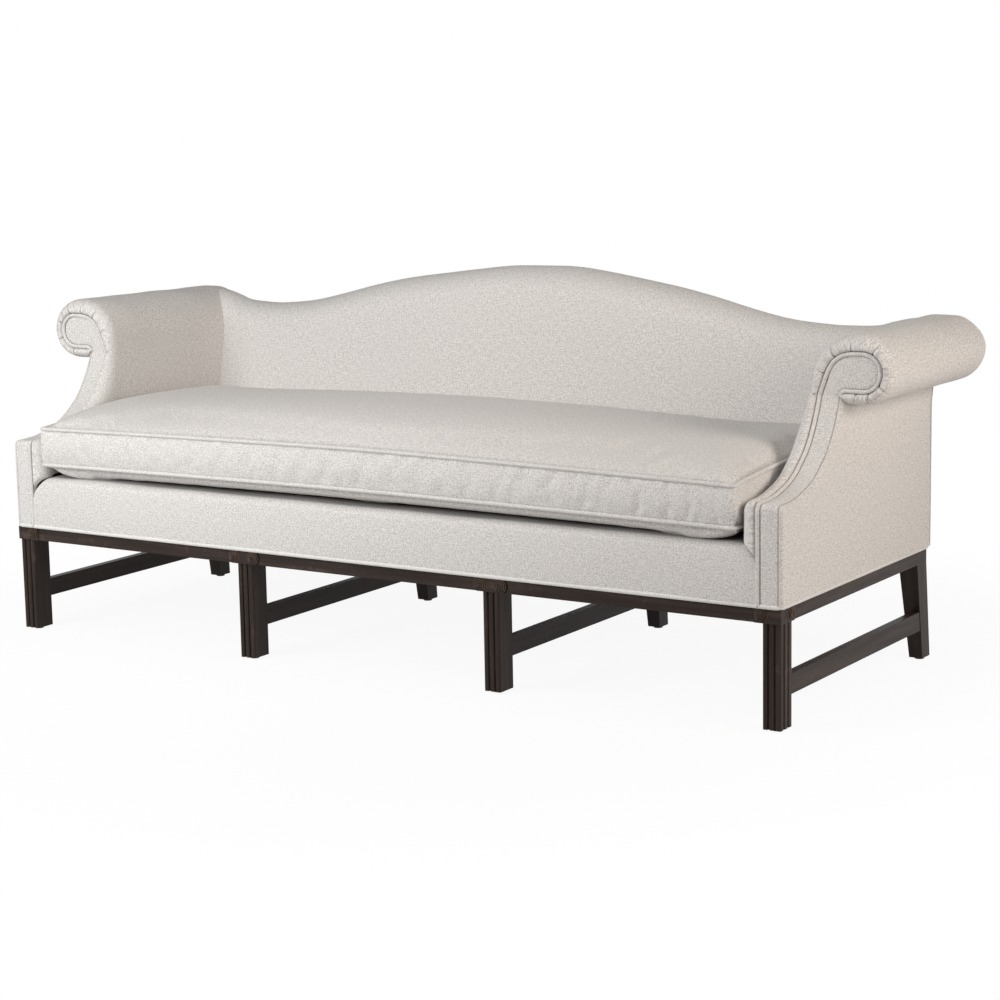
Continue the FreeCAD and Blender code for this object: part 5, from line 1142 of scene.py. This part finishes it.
def carved_leaves():
    """The ribs of the carved volutes: three arcs, one in the other, open below, round every bead.

    Each volute has its centre and its three directions: across, up and out of the wood.
    """
    middle = np.mean([corner[0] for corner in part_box("front_leg_middle_right")]) / MM
    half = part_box("front_leg_corner_right")[1][0] / MM
    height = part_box("carved_brackets")[1][2] / MM - VOLUTE_R
    up, ahead, right = np.array([0, 0, 1.0]), np.array([0, -1.0, 0]), np.array([1.0, 0, 0])
    reach = VOLUTE_X - VOLUTE_R
    faces = (((middle - reach, 0, height), right, ahead), ((middle + reach, 0, height), right, ahead),
             ((half - VOLUTE_X, 0, height), right, ahead), ((half, VOLUTE_X, height), -ahead, right))
    angle = np.radians(np.linspace(-48, 228, 40))[:, None]
    grids = []
    for centre, across, out in faces:
        ring = across * np.cos(angle) + up * np.sin(angle)
        for number in range(3):
            radius = VOLUTE_R - 1.0 - VOLUTE_STEP * number
            line = placed(*(centre + ring * radius + out * (3.2 + 1.5 * number)).T)
            for side in (1, -1):
                parts = (mirrored(part, side) for part in (line, ring, np.tile(out, (len(ring), 1))))
                grids.append(tube(*parts, RIB_R, 8))
    return grids


class SOFA_OT_carving(bpy.types.Operator):
    """The ribs carved on the volutes over the front legs"""
    bl_idname = "sofa.carving"
    bl_label = "Carving"

    def execute(self, context):
        soft_piece("carved_leaves", carved_leaves(), finish_named("wood_carved"))
        return {"FINISHED"}


class SOFA_OT_frame_finishes(bpy.types.Operator):
    """Finishes of the show wood, the inner frame, the webbing and the hardware"""
    bl_idname = "sofa.frame_finishes"
    bl_label = "Frame finishes"

    def execute(self, context):
        for name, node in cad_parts.items():
            chosen = [finish for starts, finish in NODE_FINISHES if name.startswith(starts)]
            if not chosen:
                raise RuntimeError(f"{name} has no finish")
            node.data.materials.clear()
            node.data.materials.append(finish_named(chosen[0]))
        return {"FINISHED"}


# Each lamp: its name, place, aim, size, power and colour
LAMPS = (("key", (-1.2, -2.5, 1.5), (-0.6, 0.0, 0.45), (1.4, 1.1), 47, (0.98, 0.99, 1.0)),
         ("top", (0.2, -1.5, 2.7), (0.1, 0.25, 0.6), (2.2, 1.0), 28, (1.0, 0.96, 0.91)),
         ("side", (3.4, -0.3, 1.5), (1.0, 0.0, 0.5), (1.3, 1.3), 46, (1.0, 0.92, 0.84)))
WHITE = (1, 1, 1, 1)
WORLD_TINT, WORLD_STRENGTH = (0.93, 0.96, 1.0, 1), 0.07
# The camera that was fitted to the photograph: focal length in widths of the picture, angles in degrees
FOCUS, YAW, PITCH, ROLL = 2.503, 32.74, 9.83, -1.07
CAMERA_PLACE = (3.2968, -4.9463, 1.3770)
SENSOR = 36


def area_lamp(name, place, aim, size, power, colour):
    """A rectangular soft lamp at a place, turned to a point."""
    lamp = bpy.data.lights.new(name, "AREA")
    lamp.shape = "RECTANGLE"
    lamp.size, lamp.size_y = size
    lamp.energy = power
    lamp.color = colour
    item = bpy.data.objects.new(name, lamp)
    item.location = place
    way = np.asarray(place, float) - np.asarray(aim, float)
    way /= np.linalg.norm(way)
    side = np.cross((0, 0, 1), way)
    side /= np.linalg.norm(side)
    item.rotation_mode = "QUATERNION"
    turn = mathutils.Matrix(np.stack([side, np.cross(way, side), way], 1).tolist())
    item.rotation_quaternion = turn.to_quaternion()
    bpy.context.scene.collection.objects.link(item)


class SOFA_OT_stage(bpy.types.Operator):
    """Floor, lamps, world and camera"""
    bl_idname = "sofa.stage"
    bl_label = "Stage"

    def execute(self, context):
        scene = context.scene
        step = np.linspace(-60, 60, 3)
        mesh = bpy.data.meshes.new("floor")
        mesh.from_pydata(stacked(step[:, None], step, 0.0).reshape(-1, 3).tolist(), [],
                         grid_faces(3, 3)[:, ::-1].tolist())
        floor = bpy.data.objects.new("floor", mesh)
        scene.collection.objects.link(floor)
        finish = Finish("floor_pale")
        distance = finish.node("ShaderNodeVectorMath", {"operation": "LENGTH"}, {0: finish.place()},
                               "Value")
        bare = 0.93 + distance.between(0.9, 1.9) * 0.07
        matt = finish.node("ShaderNodeBsdfDiffuse", {}, {"Color": (0.86, 0.86, 0.86, 1), "Roughness": 0.5})
        bright = finish.node("ShaderNodeEmission", {}, {"Color": WHITE, "Strength": 1.0})
        both = finish.node("ShaderNodeMixShader", {}, {0: finish.looked_at() * bare, 1: matt, 2: bright})
        mesh.materials.append(finish.ended(both))

        world = Finish("studio", world=True)
        soft = world.node("ShaderNodeBackground", {}, {"Color": WORLD_TINT, "Strength": WORLD_STRENGTH})
        white = world.node("ShaderNodeBackground", {}, {"Color": WHITE, "Strength": 1.0})
        scene.world = world.ended(world.node("ShaderNodeMixShader", {}, {0: world.looked_at(), 1: soft,
                                                                         2: white}))
        for lamp in LAMPS:
            area_lamp(*lamp)

        yaw, pitch, roll = np.radians((YAW, PITCH, ROLL))
        ahead = np.array([-np.sin(yaw) * np.cos(pitch), np.cos(yaw) * np.cos(pitch), -np.sin(pitch)])
        level = np.array([np.cos(yaw), np.sin(yaw), 0])
        upright = np.cross(level, ahead)
        right = level * np.cos(roll) + upright * np.sin(roll)
        up = upright * np.cos(roll) - level * np.sin(roll)
        lens = bpy.data.cameras.new("camera")
        lens.sensor_width = SENSOR
        lens.lens = FOCUS * SENSOR
        view = bpy.data.objects.new("camera", lens)
        pose = mathutils.Matrix(np.stack([right, up, -ahead], 1).tolist()).to_4x4()
        pose.translation = CAMERA_PLACE
        view.matrix_world = pose
        scene.collection.objects.link(view)
        scene.camera = view
        scene.view_settings.view_transform = "Standard"
        return {"FINISHED"}


STEPS = ("frame_finishes", "carving", "arm_covers", "arm_facings", "cords", "outer_panels",
         "inside_back", "seat_base", "cushion", "stage")


class SOFA_PT_panel(bpy.types.Panel):
    """The sofa's sizes, colours and building steps"""
    bl_label = "Sofa"
    bl_idname = "SOFA_PT_panel"
    bl_space_type = "VIEW_3D"
    bl_region_type = "UI"
    bl_category = "Sofa"

    def draw(self, context):
        for group in (context.scene.sofa_sizes, context.scene.sofa_colours):
            for name in group.__annotations__:
                self.layout.prop(group, name)
        for step in STEPS:
            self.layout.operator(f"sofa.{step}")


CLASSES = (SofaSizes, SofaColours, SOFA_OT_frame_finishes, SOFA_OT_carving, SOFA_OT_arm_covers,
           SOFA_OT_arm_facings, SOFA_OT_cords, SOFA_OT_outer_panels, SOFA_OT_inside_back,
           SOFA_OT_seat_base, SOFA_OT_cushion, SOFA_OT_stage, SOFA_PT_panel)


def register():
    """Adds the classes and the scene's two groups of properties."""
    for item in CLASSES:
        bpy.utils.register_class(item)
    bpy.types.Scene.sofa_sizes = PointerProperty(type=SofaSizes)
    bpy.types.Scene.sofa_colours = PointerProperty(type=SofaColours)


def unregister():
    """Takes the classes and the properties away."""
    del bpy.types.Scene.sofa_colours
    del bpy.types.Scene.sofa_sizes
    for item in reversed(CLASSES):
        bpy.utils.unregister_class(item)


def main():
    """Builds the whole sofa."""
    register()
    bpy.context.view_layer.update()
    for step in STEPS:
        getattr(bpy.ops.sofa, step)()


if __name__ == "__main__":
    main()
